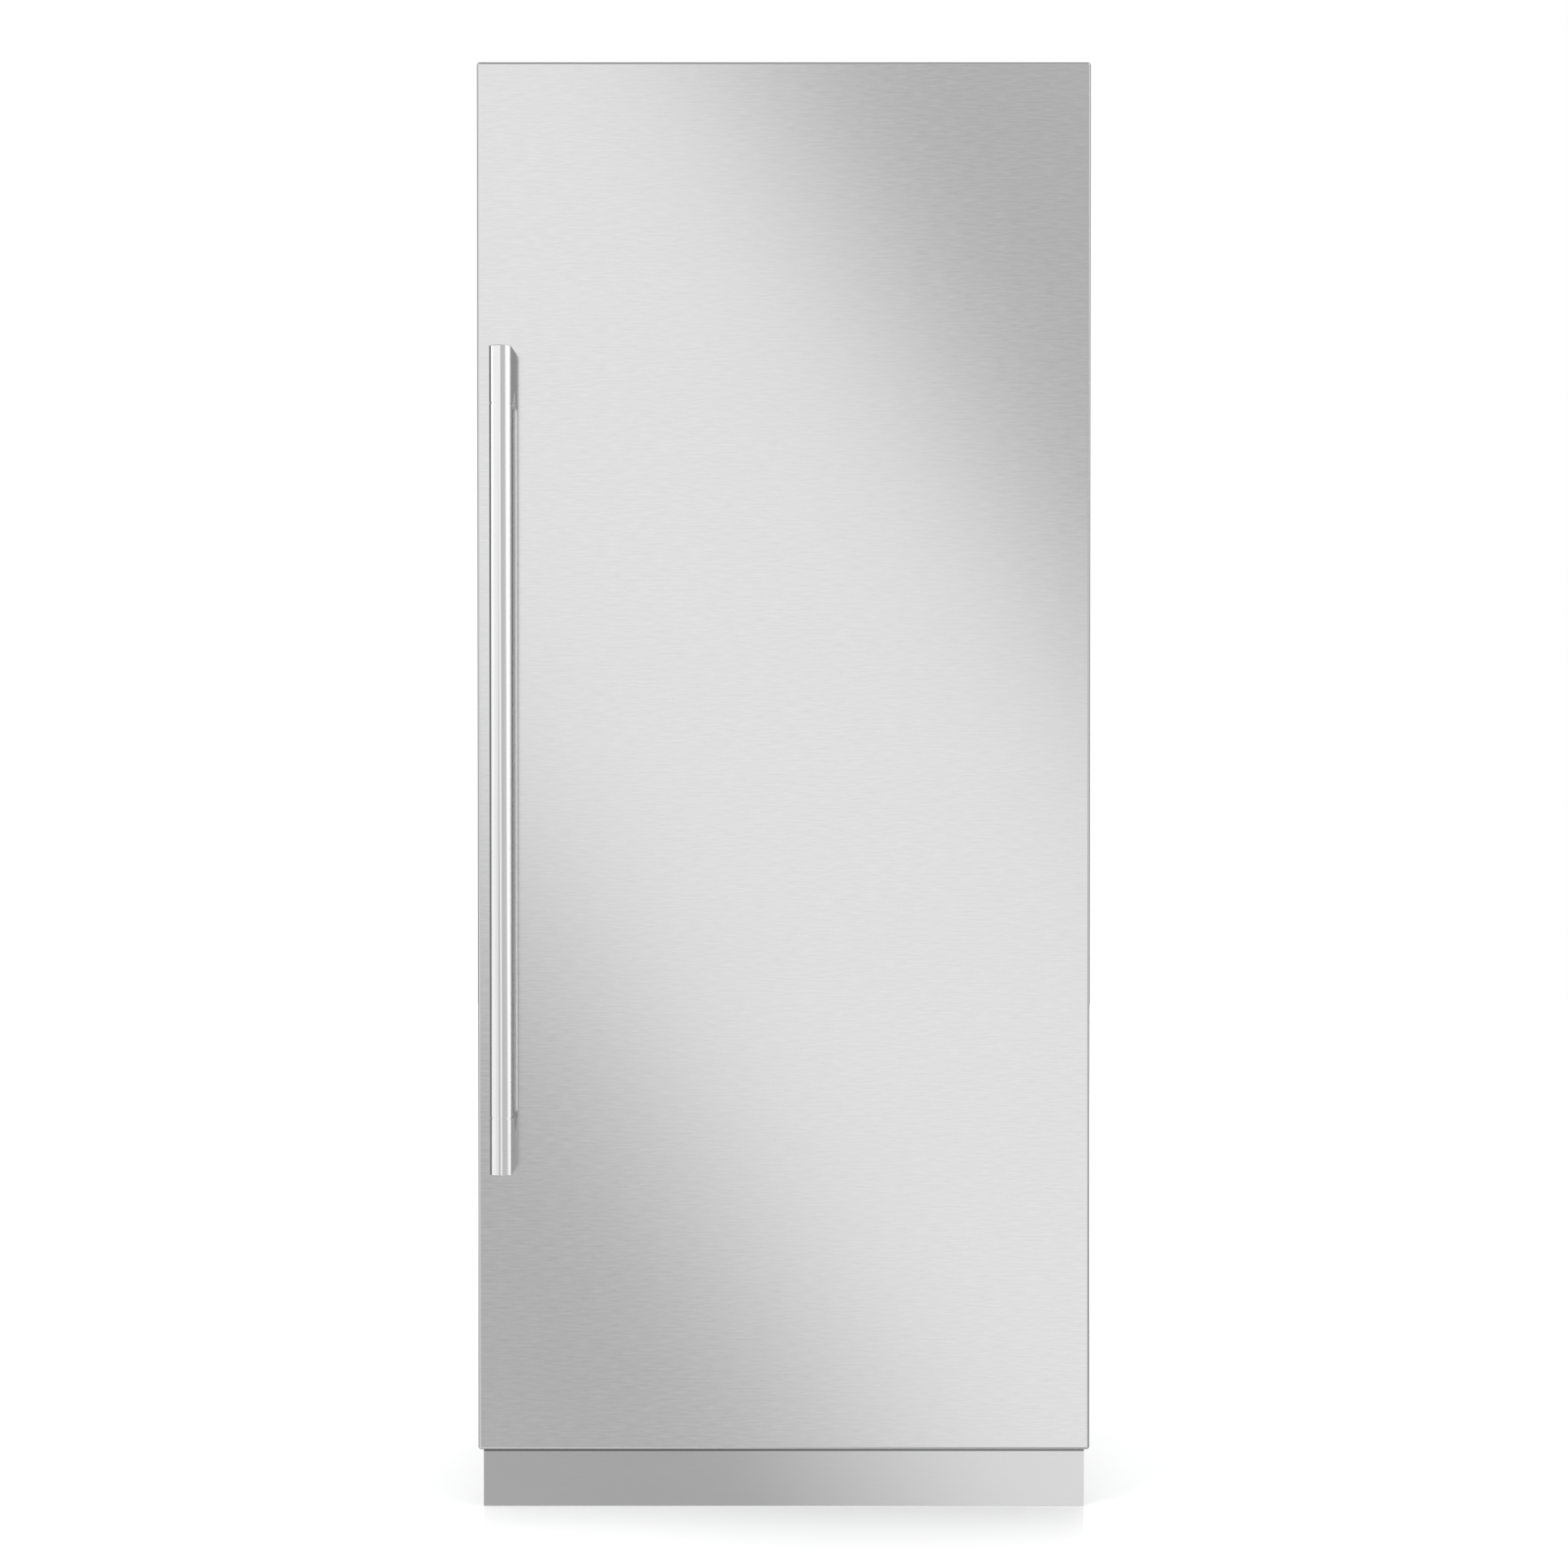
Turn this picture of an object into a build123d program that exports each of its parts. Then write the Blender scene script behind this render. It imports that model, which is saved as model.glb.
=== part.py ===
from build123d import *
import os

# Built-in column refrigerator, one right-hinged door behind a stainless panel.
# Millimetres, +Z up, the front faces -Y, +X to the right of someone standing in front.
# The origin lies on the floor, below the middle of the bounding box.

# Overall sizes
panel_width = 908
panel_height = 2056
panel_bottom = 99
handle_reach = 65
body_depth = 635
wall_gap = 6
panel_overhang = 8
case_bottom = 104
case_top = 2134
case_setback = 90
sheet = 1.5
overrun = 4
fit = 0.3
bearing_fit = 0.05

# Door
panel_depth = 20
panel_sheet = 1.5
panel_corner = 4.5
panel_fold = 4
core_gap = 2
core_depth = 54
pan_sheet = 1.2
pan_corner = 4
hinge_inset = 16
hinge_setback = 35
door_liner_sheet = 2.5
ridge_gap = 4.5
ridge_width = 42
ridge_height = 24
ridge_draft = 6
ridge_round = 5
lug_reach = 8
lug_depth = 12
lug_height = 14
lug_round = 3
lug_back_gap = 8
rib_width = 12
rib_height = 1.6
rib_count = 6
rib_margin = 120
gasket_inset = 12
gasket_base = 8
gasket_neck = 12
gasket_face = 20
gasket_foot = 4
gasket_lip = 5

# Handle
handle_left = 24
handle_width = 32
handle_bottom = 516
handle_length = 1212
handle_block = 85
handle_depth = 30
handle_mitre = 26
handle_edge = 7
handle_crown = 9
handle_corner = 3
handle_end_bevel = 0.8
handle_seam = 1
handle_seam_depth = 2
stud_radius = 4
stud_length = 30
stud_inset = 30

# Case walls, cold room and machine room
side_wall = 50
ceiling = 52
floor_wall = 68
back_wall = 69
liner_sheet = 3
liner_corner = 18
machine_depth = 204
step_height = 163
machine_wall = 40
bead_count = 5
bead_width = 34
bead_margin = 110
bead_rise = 3
bead_slope = 45
lower_rail_width = 42
lower_rail_height = 8

# Hinges
hinge_plate = 6
hinge_eye = 10
hinge_pin = 4
hinge_pin_length = 26
hinge_arm_width = 26
hinge_foot_width = 108
hinge_foot_depth = 90
hinge_foot_round = 8
hinge_foot_gap = 5
hinge_screw_margin = 18
hinge_screw_radius = 3.2
bush_wall = 2
bush_depth = 24
bush_flange = 1.5
cover_wall = 2
cover_height = 17
cover_round = 5

# Base, toe kick, legs and rollers
frame_bottom = 40
rail_width = 40
rail_sheet = 3
rail_inset = 2
front_beam_setback = 30
front_beam_depth = 50
toe_inset = 2.5
toe_recess = 53
toe_gap = 2
toe_floor_gap = 1
toe_return = 14
toe_tab_width = 40
toe_tab_height = 30
leg_inset = 46
leg_setback = 58
leg_pad_radius = 20
leg_pad_height = 9
leg_pad_round = 3
leg_stem_radius = 6
leg_stem_length = 72
leg_nut_radius = 12
leg_travel_room = 30
roller_radius = 24
roller_width = 20
roller_round = 2
roller_inset = 46
roller_back = 60
axle_radius = 4
fork_sheet = 3
fork_play = 1
fork_margin = 10

# Compressor, condenser, drain pan
compressor_x = 60
compressor_back = 120
compressor_long = 210
compressor_wide = 150
compressor_height = 165
compressor_dome = 42
compressor_seam = 4
compressor_seam_height = 5
foot_plate = 3
foot_plate_width = 190
foot_plate_depth = 160
foot_hole_margin = 16
grommet_radius = 11
grommet_neck = 7
grommet_height = 13
grommet_lip = 4
terminal_width = 46
terminal_depth = 26
terminal_height = 52
pipe_radius = 4
pipe_reach = 26
coil_inset = 60
coil_width = 120
coil_depth = 150
coil_back = 40
coil_bottom_gap = 14
coil_height = 150
coil_rows = 3
coil_columns = 2
coil_tube = 4
coil_fins = 11
coil_fin = 1.2
coil_end = 12
drain_inset = 60
drain_gap = 21.5
drain_depth = 150
drain_back = 30
drain_height = 32
drain_wall = 2.5
drain_round = 14
drain_taper = 4
drain_foot = 3

# Fans
condenser_fan_tip = 68
condenser_fan_hub = 20
condenser_fan_deep = 22
condenser_fan_blades = 5
condenser_fan_room = 4
condenser_fan_gap = 30
evaporator_fan_tip = 46
evaporator_fan_hub = 14
evaporator_fan_deep = 14
evaporator_fan_blades = 5
evaporator_fan_room = 3
blade_camber_share = 0.14
blade_thick_share = 0.07
blade_root_chord_share = 0.62
blade_tip_chord_share = 0.95
blade_root_pitch = 52
blade_tip_pitch = 24
hub_round_share = 0.35
bore_share = 0.75
shaft_radius = 2.5
motor_radius_share = 0.85
motor_length = 24
motor_gap = 2
shroud_margin = 8
strut_width = 7
strut_count = 3

# Cold room fittings
duct_width = 400
duct_depth = 45
duct_wall = 3
duct_round = 14
duct_gap = 34
duct_top_gap = 66
slot_width = 46
slot_height = 7
slot_pitch = 15
slot_rows = 6
fan_height = 620
fan_grille_bars = 7
vent_inset = 60
vent_drop = 60
evaporator_width = 340
evaporator_depth = 34
evaporator_height = 200
evaporator_floor_gap = 60
evaporator_fins = 12
evaporator_tubes = 4
evaporator_tube = 5
evaporator_fin = 1.2
evaporator_end = 14
track_inset = 96
track_width = 20
track_depth = 12
track_sheet = 2
track_floor_gap = 60
track_slot_width = 6
track_slot_height = 16
track_pitch = 40
track_top_gap = 130
shelf_count = 3
shelf_top_slots = 7
shelf_spare_slots = 5
shelf_side_gap = 11
shelf_front_setback = 125
shelf_duct_gap = 4
shelf_bar = 22
shelf_height = 14
shelf_glass = 4
shelf_lap = 7
shelf_corner = 10
arm_width = 4
arm_front_height = 8
arm_hook_reach = 6
arm_hook_height = 12
arm_front_margin = 60
crisper_top = 612
crisper_glass = 5
crisper_bar = 24
crisper_rail_height = 42
crisper_rail_width = 32
crisper_ledge = 10
crisper_ledge_height = 7
divider_web = 6
drawer_front_setback = 99
crisper_height = 197
crisper_back_gap = 25
lower_drawer_back_gap = 8
lower_drawer_height = 160
lower_drawer_gap = 18
drawer_wall = 3
drawer_draft = 2
drawer_flange = 4
drawer_flange_gap = 2
drawer_front = 6
drawer_front_rise = 3
drawer_round = 12
drawer_play = 3
pull_width = 150
pull_height = 26
pull_drop = 12
slider_width = 34
slider_height = 12
slider_depth = 5
slider_slot = 3
slider_travel = 25
slider_grip = 3
slider_stem = 4
light_width = 18
light_top_gap = 160
light_depth = 4
light_setback = 30
light_round = 4
lamp_width = 420
panel_box_width = 260
panel_box_depth = 50
panel_box_height = 20
panel_box_setback = 70
panel_box_slope = 9

# Door bins and dairy box
bin_count = 3
bin_low = 700
bin_top_gap = 10
bin_play = 2.5
bin_depth = 108
bin_bow = 8
bin_back_gap = 2
bin_height = 104
bin_front_height = 78
bin_wall = 3
bin_round = 16
hook_wall = 3
hook_play = 0.6
hook_top = 6
bin_lug_drop = 24
dairy_drop = 232
dairy_height = 118
dairy_depth = 104
dairy_wall = 3
dairy_play = 0.5
dairy_round = 10
lid_wall = 2.5
lid_gap = 1.5
lid_pin = 3
lid_boss = 6
lid_tab = 5
lid_back = 14

# Back of the case
cover_slot_width = 90
cover_slot_height = 5
cover_slot_pitch = 14
cover_slot_rows = 9
cover_slot_columns = 3
cover_slot_gap = 130
inlet_width = 30
inlet_height = 24
inlet_flange = 5
inlet_flange_sheet = 2
inlet_depth = 22
inlet_wall = 3
inlet_inset = 60
inlet_drop = 40
inlet_blade_width = 2
inlet_blade_height = 6
inlet_blade_pitch = 7
tip_inset = 116
tip_width = 90
tip_sheet = 3
tip_foot = 46
tip_rise = 18
tip_hole_radius = 3
tip_hole_pitch = 60

# Places worked out from the sizes
case_width = panel_width - 2 * panel_overhang
half_width = case_width / 2
toe_width = panel_width - 2 * toe_inset
front_y = -(handle_reach + body_depth) / 2
panel_front = front_y + handle_reach
panel_back = panel_front + panel_depth
back_y = panel_front + body_depth
case_back = back_y - wall_gap
case_front = panel_front + case_setback
core_back = panel_back + core_depth
core_bottom = case_bottom + core_gap
core_top = case_top - core_gap
pivot_x = panel_width / 2 - hinge_inset
pivot_y = panel_front + hinge_setback
room_half = half_width - side_wall
room_top = case_top - ceiling
room_floor = case_bottom + floor_wall
dairy_bottom = room_top - dairy_drop
bin_pitch = (dairy_bottom - bin_top_gap - bin_low) / bin_count
bin_bottoms = [bin_low + rank * bin_pitch for rank in range(bin_count)]
room_back = case_back - back_wall
step_y = case_back - machine_depth - machine_wall
step_top = room_floor + step_height
machine_front = step_y + machine_wall
machine_top = step_top - machine_wall
machine_floor = frame_bottom + rail_sheet


def level(z):
    """A sketch plane that lies flat at height z."""
    return Plane.XY.offset(z)


def upright(y):
    """A sketch plane that faces the front, at depth y; its second axis is Z."""
    return Plane.XZ.offset(-y)


def sideways(x):
    """A sketch plane that faces right, at x; its axes are Y and Z."""
    return Plane.YZ.offset(x)


def slab(x0, x1, y0, y1, z0, z1, mode=Mode.ADD):
    """A plate or a cut between two corners."""
    with BuildSketch(level(z0)) as outline:
        with Locations(((x0 + x1) / 2, (y0 + y1) / 2)):
            Rectangle(x1 - x0, y1 - y0)
    extrude(outline.sketch, amount=z1 - z0, mode=mode)


def keep(piece, name):
    """Label a finished piece and write it under its node's name."""
    piece.part.label = name
    export_step(piece.part, f"parts/{name}.step")


os.makedirs("parts", exist_ok=True)

# Where the handle's studs pass through the panel
handle_x = -panel_width / 2 + handle_left + handle_width / 2
handle_top = handle_bottom + handle_length
stud_heights = [handle_bottom + stud_inset, handle_top - stud_inset]


def stud_holes():
    """Cut the two stud holes through whatever lies behind the panel's front."""
    with BuildSketch(upright(panel_front + stud_length)) as holes:
        with Locations(*[(handle_x, z) for z in stud_heights]):
            Circle(stud_radius + fit)
    extrude(holes.sketch, amount=stud_length + overrun, mode=Mode.SUBTRACT)


panel_mid = panel_bottom + panel_height / 2


def panel_block(shrink, corner, fold):
    """The panel's block drawn in by shrink, with eased corners and a folded front rim."""
    with BuildPart() as block:
        with BuildSketch(upright(panel_back)) as outline:
            with Locations((0, panel_mid)):
                RectangleRounded(panel_width - 2 * shrink, panel_height - 2 * shrink, corner)
        extrude(amount=panel_depth - shrink)
        fillet(block.edges().group_by(Axis.Y)[0], fold)
    return block.part


# Door panel: a stainless sheet folded back along all four edges
with BuildPart() as door_panel:
    add(panel_block(0, panel_corner, panel_fold))
    inner_corner = panel_corner - panel_sheet
    add(panel_block(panel_sheet, inner_corner, panel_fold - panel_sheet), mode=Mode.SUBTRACT)
    stud_holes()
keep(door_panel, "door_panel")

# Core board: stiffens the sheet and takes the handle's studs
with BuildPart() as door_core_board:
    add(panel_block(panel_sheet, panel_corner, panel_fold))
    stud_holes()
keep(door_core_board, "door_core_board")

# Door pan: the steel tray that holds the door's foam, open towards the cold room
core_mid = (core_bottom + core_top) / 2
core_height = core_top - core_bottom
bush_radius = hinge_pin + bearing_fit + bush_wall
with BuildPart() as door_pan:
    with BuildSketch(upright(core_back)) as outline:
        with Locations((0, core_mid)):
            RectangleRounded(case_width, core_height, pan_corner)
    extrude(amount=core_depth)
    with BuildSketch(upright(core_back)) as hollow:
        with Locations((0, core_mid)):
            RectangleRounded(
                case_width - 2 * pan_sheet, core_height - 2 * pan_sheet, pan_corner - pan_sheet
            )
    extrude(amount=core_depth - pan_sheet, mode=Mode.SUBTRACT)
    stud_holes()
    with BuildSketch(level(core_bottom)) as bush_hole:
        with Locations((pivot_x, pivot_y)):
            Circle(bush_radius)
    extrude(amount=core_height, mode=Mode.SUBTRACT)
keep(door_pan, "door_pan")

# Door liner: a moulded plate with a drafted ridge round a ribbed field, and lugs for the bins
plate_front = core_back - door_liner_sheet
ridge_half = room_half - ridge_gap
ridge_low = room_floor + ridge_gap
ridge_high = room_top - ridge_gap
ridge_mid = (ridge_low + ridge_high) / 2
ridge_rise = ridge_high - ridge_low
field_half = ridge_half - ridge_width
inner_width = case_width - 2 * pan_sheet
inner_height = core_height - 2 * pan_sheet
lug_y = core_back + lug_back_gap + lug_depth / 2
lug_places = [
    (side * (field_half - lug_reach / 2), bottom + bin_height - bin_lug_drop)
    for side in (-1, 1)
    for bottom in bin_bottoms
]


def ridge_block(shrink, start, amount, mode):
    """The drafted block of the ridge, drawn in by the liner's sheet where it is hollowed."""
    with BuildSketch(upright(start)) as outline:
        with Locations((0, ridge_mid)):
            RectangleRounded(
                2 * ridge_half - 2 * shrink, ridge_rise - 2 * shrink, liner_corner - shrink
            )
    extrude(outline.sketch, amount=-amount, taper=ridge_draft, mode=mode)


def field_block(grow, start, amount, mode):
    """The sunk field inside the ridge, straight-sided, so that the bins fit at every height."""
    with BuildSketch(upright(start)) as outline:
        with Locations((0, ridge_mid)):
            RectangleRounded(
                2 * field_half + 2 * grow, ridge_rise - 2 * ridge_width + 2 * grow, liner_corner
            )
    extrude(outline.sketch, amount=-amount, mode=mode)


with BuildPart() as door_liner:
    with BuildSketch(upright(core_back)) as plate:
        with Locations((0, core_mid)):
            RectangleRounded(inner_width, inner_height, pan_corner - pan_sheet)
    extrude(amount=door_liner_sheet)
    ridge_block(0, core_back, ridge_height, Mode.ADD)
    field_block(0, core_back, ridge_height + overrun, Mode.SUBTRACT)
    rims = door_liner.faces().sort_by(Axis.Y)[-1].edges()
    fillet(rims, ridge_round / 2)
    for place, height in lug_places:
        with BuildSketch(upright(core_back + lug_back_gap + lug_depth)) as lug:
            with Locations((place, height)):
                RectangleRounded(lug_reach, lug_height, lug_round)
                with Locations((lug_round if place > 0 else -lug_round, 0)):
                    Rectangle(lug_reach - lug_round, lug_height)
        extrude(amount=lug_depth)
    with BuildSketch(upright(core_back)) as ribs:
        with Locations((0, ridge_mid)):
            rib_gap = (ridge_rise - 2 * ridge_width - 2 * rib_margin) / (rib_count - 1)
            with GridLocations(0, rib_gap, 1, rib_count):
                SlotOverall(2 * field_half - rib_margin, rib_width)
    extrude(amount=-rib_height)
    with BuildSketch(upright(plate_front)) as ridge_hollow:
        with Locations((0, ridge_mid)):
            RectangleRounded(
                2 * ridge_half - 2 * door_liner_sheet - ridge_round,
                ridge_rise - 2 * door_liner_sheet - ridge_round,
                liner_corner - door_liner_sheet,
            )
            RectangleRounded(
                2 * field_half + 2 * door_liner_sheet,
                ridge_rise - 2 * ridge_width + 2 * door_liner_sheet,
                liner_corner,
                mode=Mode.SUBTRACT,
            )
    extrude(amount=-ridge_height, mode=Mode.SUBTRACT)
keep(door_liner, "door_liner")

# Foam in the door pan, with the pockets of the two hinge bushes
with BuildPart() as door_insulation:
    with BuildSketch(upright(plate_front)) as outline:
        with Locations((0, core_mid)):
            RectangleRounded(inner_width, inner_height, pan_corner - pan_sheet)
    extrude(amount=core_depth - door_liner_sheet - pan_sheet)
    for low in (core_bottom, core_top - bush_depth):
        with BuildSketch(level(low)) as pocket:
            with Locations((pivot_x, pivot_y)):
                Circle(bush_radius)
        extrude(amount=bush_depth, mode=Mode.SUBTRACT)
    stud_holes()
keep(door_insulation, "door_insulation")

# Gasket: foot in the liner's edge, soft neck and the wide sealing face
gasket_depth = case_setback - panel_depth - core_depth - fit
gasket_height = core_height - 2 * gasket_inset
with BuildPart() as door_gasket:
    for width, near, far in (
        (gasket_base, 0, gasket_foot),
        (gasket_neck, gasket_foot, gasket_depth - gasket_lip),
        (gasket_face, gasket_depth - gasket_lip, gasket_depth),
    ):
        with BuildSketch(upright(core_back + near)) as ring:
            with Locations((0, core_mid)):
                middle = gasket_face - width
                Rectangle(
                    case_width - 2 * gasket_inset - middle, gasket_height - middle
                )
                Rectangle(
                    case_width - 2 * gasket_inset - middle - 2 * width,
                    gasket_height - middle - 2 * width,
                    mode=Mode.SUBTRACT,
                )
        extrude(amount=near - far)
keep(door_gasket, "door_gasket")

# Handle: a grip with a crowned front between two end blocks that run back to the panel
handle_back = front_y + handle_depth
seam_low = handle_bottom + handle_block
seam_high = handle_top - handle_block


def handle_section(z, back, back_round, shrink):
    """The bar's section at height z, from its crowned front to depth back."""
    left = handle_x - handle_width / 2
    right = handle_x + handle_width / 2
    crown_y = front_y + handle_crown
    with BuildSketch(level(z)) as section:
        with BuildLine():
            ThreePointArc((left, crown_y), (handle_x, front_y), (right, crown_y))
            Polyline((right, crown_y), (right, back), (left, back), (left, crown_y))
        make_face()
        fillet(section.vertices().sort_by(Axis.Y)[:2], handle_corner)
        if back_round:
            fillet(section.vertices().sort_by(Axis.Y)[-2:], back_round)
        if shrink:
            offset(amount=-shrink)
    return section.sketch


with BuildPart() as handle_bar:
    extrude(handle_section(seam_low, handle_back, handle_edge, 0), amount=seam_high - seam_low)
keep(handle_bar, "handle_bar")

with BuildPart() as handle_blocks:
    extrude(handle_section(handle_bottom, panel_front, 0, 0), amount=handle_length)
    block_ends = ((handle_bottom, seam_low, 1), (handle_top, seam_high, -1))
    with BuildSketch(sideways(handle_x - handle_width / 2)) as profile:
        for end, seam, inward in block_ends:
            inner = seam - inward * handle_seam_depth
            with BuildLine():
                Polyline(
                    (front_y, end),
                    (front_y, inner),
                    (handle_back, inner),
                    (panel_front, inner - inward * handle_mitre),
                    (panel_front, end),
                    close=True,
                )
            make_face()
    extrude(amount=handle_width, mode=Mode.INTERSECT)
    for end_face in handle_blocks.faces().sort_by(Axis.Z)[:: len(handle_blocks.faces()) - 1]:
        rim = [edge for edge in end_face.edges() if edge.center().Y < panel_front - fit]
        chamfer(rim, handle_end_bevel)
    for end, seam, inward in block_ends:
        neck = inward * handle_seam_depth
        extrude(handle_section(seam - neck, handle_back, handle_edge, handle_seam), amount=neck)
    for height in stud_heights:
        with BuildSketch(upright(panel_front)) as stud:
            with Locations((handle_x, height)):
                Circle(stud_radius)
        extrude(amount=-(stud_length - fit))
keep(handle_blocks, "handle_blocks")

# Hinge bushes, one let into each end of the door
with BuildPart() as hinge_bushings:
    for end, inward in ((core_bottom, 1), (core_top, -1)):
        with BuildSketch(level(end)) as sleeve:
            with Locations((pivot_x, pivot_y)):
                Circle(bush_radius)
                Circle(hinge_pin + bearing_fit, mode=Mode.SUBTRACT)
        extrude(amount=inward * bush_depth)
        with BuildSketch(level(end)) as flange:
            with Locations((pivot_x, pivot_y)):
                Circle(bush_radius + bush_flange)
                Circle(hinge_pin + bearing_fit, mode=Mode.SUBTRACT)
        extrude(amount=-inward * (core_gap - fit))
keep(hinge_bushings, "hinge_bushings")


# Hinge brackets: an eye and arm in front of the case, a foot screwed to it, and the pin
foot_mid_x = half_width - hinge_foot_gap - hinge_foot_width / 2
foot_mid_y = case_front + hinge_foot_gap + hinge_foot_depth / 2


def hinge_bracket(plate_low, pin_low):
    """One bracket; the plate lies at plate_low, the pin starts at pin_low."""
    with BuildPart() as bracket:
        with BuildSketch(level(plate_low)) as plate:
            with Locations((pivot_x, pivot_y)):
                Circle(hinge_eye)
            with BuildLine():
                Polyline(
                    (pivot_x, pivot_y),
                    (pivot_x, foot_mid_y),
                    (pivot_x - hinge_arm_width, foot_mid_y),
                    (pivot_x - hinge_arm_width, pivot_y + hinge_eye),
                    (pivot_x - hinge_eye, pivot_y),
                    close=True,
                )
            make_face()
            with Locations((foot_mid_x, foot_mid_y)):
                RectangleRounded(hinge_foot_width, hinge_foot_depth, hinge_foot_round)
                with GridLocations(
                    hinge_foot_width - 2 * hinge_screw_margin,
                    hinge_foot_depth - 2 * hinge_screw_margin,
                    2,
                    2,
                ):
                    Circle(hinge_screw_radius, mode=Mode.SUBTRACT)
        extrude(amount=hinge_plate)
        with BuildSketch(level(pin_low)) as pin:
            with Locations((pivot_x, pivot_y)):
                Circle(hinge_pin)
        extrude(amount=hinge_pin_length)
        flats = bracket.faces().filter_by(GeomType.PLANE).sort_by(Axis.Z)
        tip = flats[-1] if pin_low >= plate_low else flats[0]
        chamfer(tip.edges(), hinge_pin / 4)
    return bracket


top_hinge_bracket = hinge_bracket(case_top, case_top + hinge_plate - hinge_pin_length)
bottom_hinge_bracket = hinge_bracket(case_bottom - hinge_plate, case_bottom - hinge_plate)
keep(top_hinge_bracket, "top_hinge_bracket")
keep(bottom_hinge_bracket, "bottom_hinge_bracket")

# Hinge cover: a moulded cap over the top bracket's foot
cap_right = foot_mid_x + hinge_foot_width / 2 + cover_wall + fit
cap_left = foot_mid_x - hinge_foot_width / 2 - cover_wall - fit
cap_back = foot_mid_y + hinge_foot_depth / 2 + cover_wall + fit
with BuildPart() as hinge_cover:
    slab(cap_left, cap_right, case_front, cap_back, case_top, case_top + cover_height)
    fillet(hinge_cover.edges().filter_by(Axis.Z).group_by(Axis.Y)[-1], cover_round)
    fillet(hinge_cover.faces().sort_by(Axis.Z)[-1].edges(), cover_wall)
    slab(
        cap_left + cover_wall,
        cap_right - cover_wall,
        case_front,
        cap_back - cover_wall,
        case_top,
        case_top + cover_height - cover_wall,
        mode=Mode.SUBTRACT,
    )
keep(hinge_cover, "hinge_cover")

# Case: front frame, side, top and back panels, and the stepped floor
frame_y = case_front + sheet
skin_back = case_back - sheet
with BuildPart() as front_frame:
    with BuildSketch(upright(frame_y)) as ring:
        with Locations((0, (case_bottom + case_top) / 2)):
            Rectangle(case_width, case_top - case_bottom)
        with Locations((0, (room_floor + room_top) / 2)):
            RectangleRounded(
                2 * (room_half + liner_sheet),
                room_top - room_floor + 2 * liner_sheet,
                liner_corner + liner_sheet,
                mode=Mode.SUBTRACT,
            )
    extrude(amount=sheet)
keep(front_frame, "front_frame")

for side, name in ((-1, "side_panel_left"), (1, "side_panel_right")):
    outer = side * half_width
    inner = side * (half_width - sheet)
    with BuildPart() as side_panel:
        slab(
            min(outer, inner),
            max(outer, inner),
            frame_y,
            case_back,
            frame_bottom,
            case_top,
        )
    keep(side_panel, name)

with BuildPart() as top_panel:
    slab(sheet - half_width, half_width - sheet, frame_y, case_back, case_top - sheet, case_top)
keep(top_panel, "top_panel")


def back_beads(shrink, start, mode):
    """The upright beads pressed outwards in the back panel, drawn in by shrink."""
    bead_pitch = (case_width - 2 * bead_margin) / (bead_count - 1)
    bead_length = case_top - machine_top - 2 * bead_margin
    with BuildSketch(upright(start)) as beads:
        with Locations((0, (case_top + machine_top) / 2)):
            with GridLocations(bead_pitch, 0, bead_count, 1):
                SlotOverall(bead_length - 2 * shrink, bead_width - 2 * shrink, rotation=90)
    extrude(beads.sketch, amount=-bead_rise, taper=bead_slope, mode=mode)


with BuildPart() as back_panel:
    slab(
        sheet - half_width,
        half_width - sheet,
        skin_back,
        case_back,
        machine_top,
        case_top - sheet,
    )
    back_beads(0, case_back, Mode.ADD)
    back_beads(sheet, skin_back, Mode.SUBTRACT)
keep(back_panel, "back_panel")


def floor_profile(drop):
    """The stepped underside of the case in the Y-Z plane, drop lower than the foam."""
    return [
        (frame_y, case_bottom + sheet - drop),
        (machine_front + drop, case_bottom + sheet - drop),
        (machine_front + drop, machine_top - drop),
        (skin_back, machine_top - drop),
    ]


with BuildPart() as floor_panel:
    with BuildSketch(sideways(sheet - half_width)) as outline:
        with BuildLine():
            Polyline(*floor_profile(sheet), *reversed(floor_profile(0)), close=True)
        make_face()
    extrude(amount=case_width - 2 * sheet)
keep(floor_panel, "floor_panel")


# Inner liner: a moulded tub that steps up over the machine room
def room_solid(grow):
    """The cold room's space, let out on all sides but the front by grow."""
    with BuildSketch(sideways(-room_half - grow)) as outline:
        with BuildLine():
            Polyline(
                (case_front, room_floor - grow),
                (step_y + grow, room_floor - grow),
                (step_y + grow, step_top - grow),
                (room_back + grow, step_top - grow),
                (room_back + grow, room_top + grow),
                (case_front, room_top + grow),
                close=True,
            )
        make_face()
    with BuildPart() as space:
        extrude(outline.sketch, amount=2 * (room_half + grow))
        fillet(space.edges().filter_by(Axis.Y), liner_corner + grow)
        fillet(space.edges().filter_by(Axis.X).group_by(Axis.Y)[-1], liner_corner + grow)
    return space.part


rail_top = room_floor + lower_drawer_gap + lower_drawer_height - drawer_flange - fit
with BuildPart() as inner_liner:
    add(room_solid(liner_sheet))
    add(room_solid(0), mode=Mode.SUBTRACT)
    for side in (-1, 1):
        far = side * room_half
        near = side * (room_half - lower_rail_width)
        slab(
            min(far, near),
            max(far, near),
            case_front + drawer_front_setback + drawer_front + drawer_play,
            step_y,
            rail_top - lower_rail_height,
            rail_top,
        )
keep(inner_liner, "inner_liner")

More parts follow.
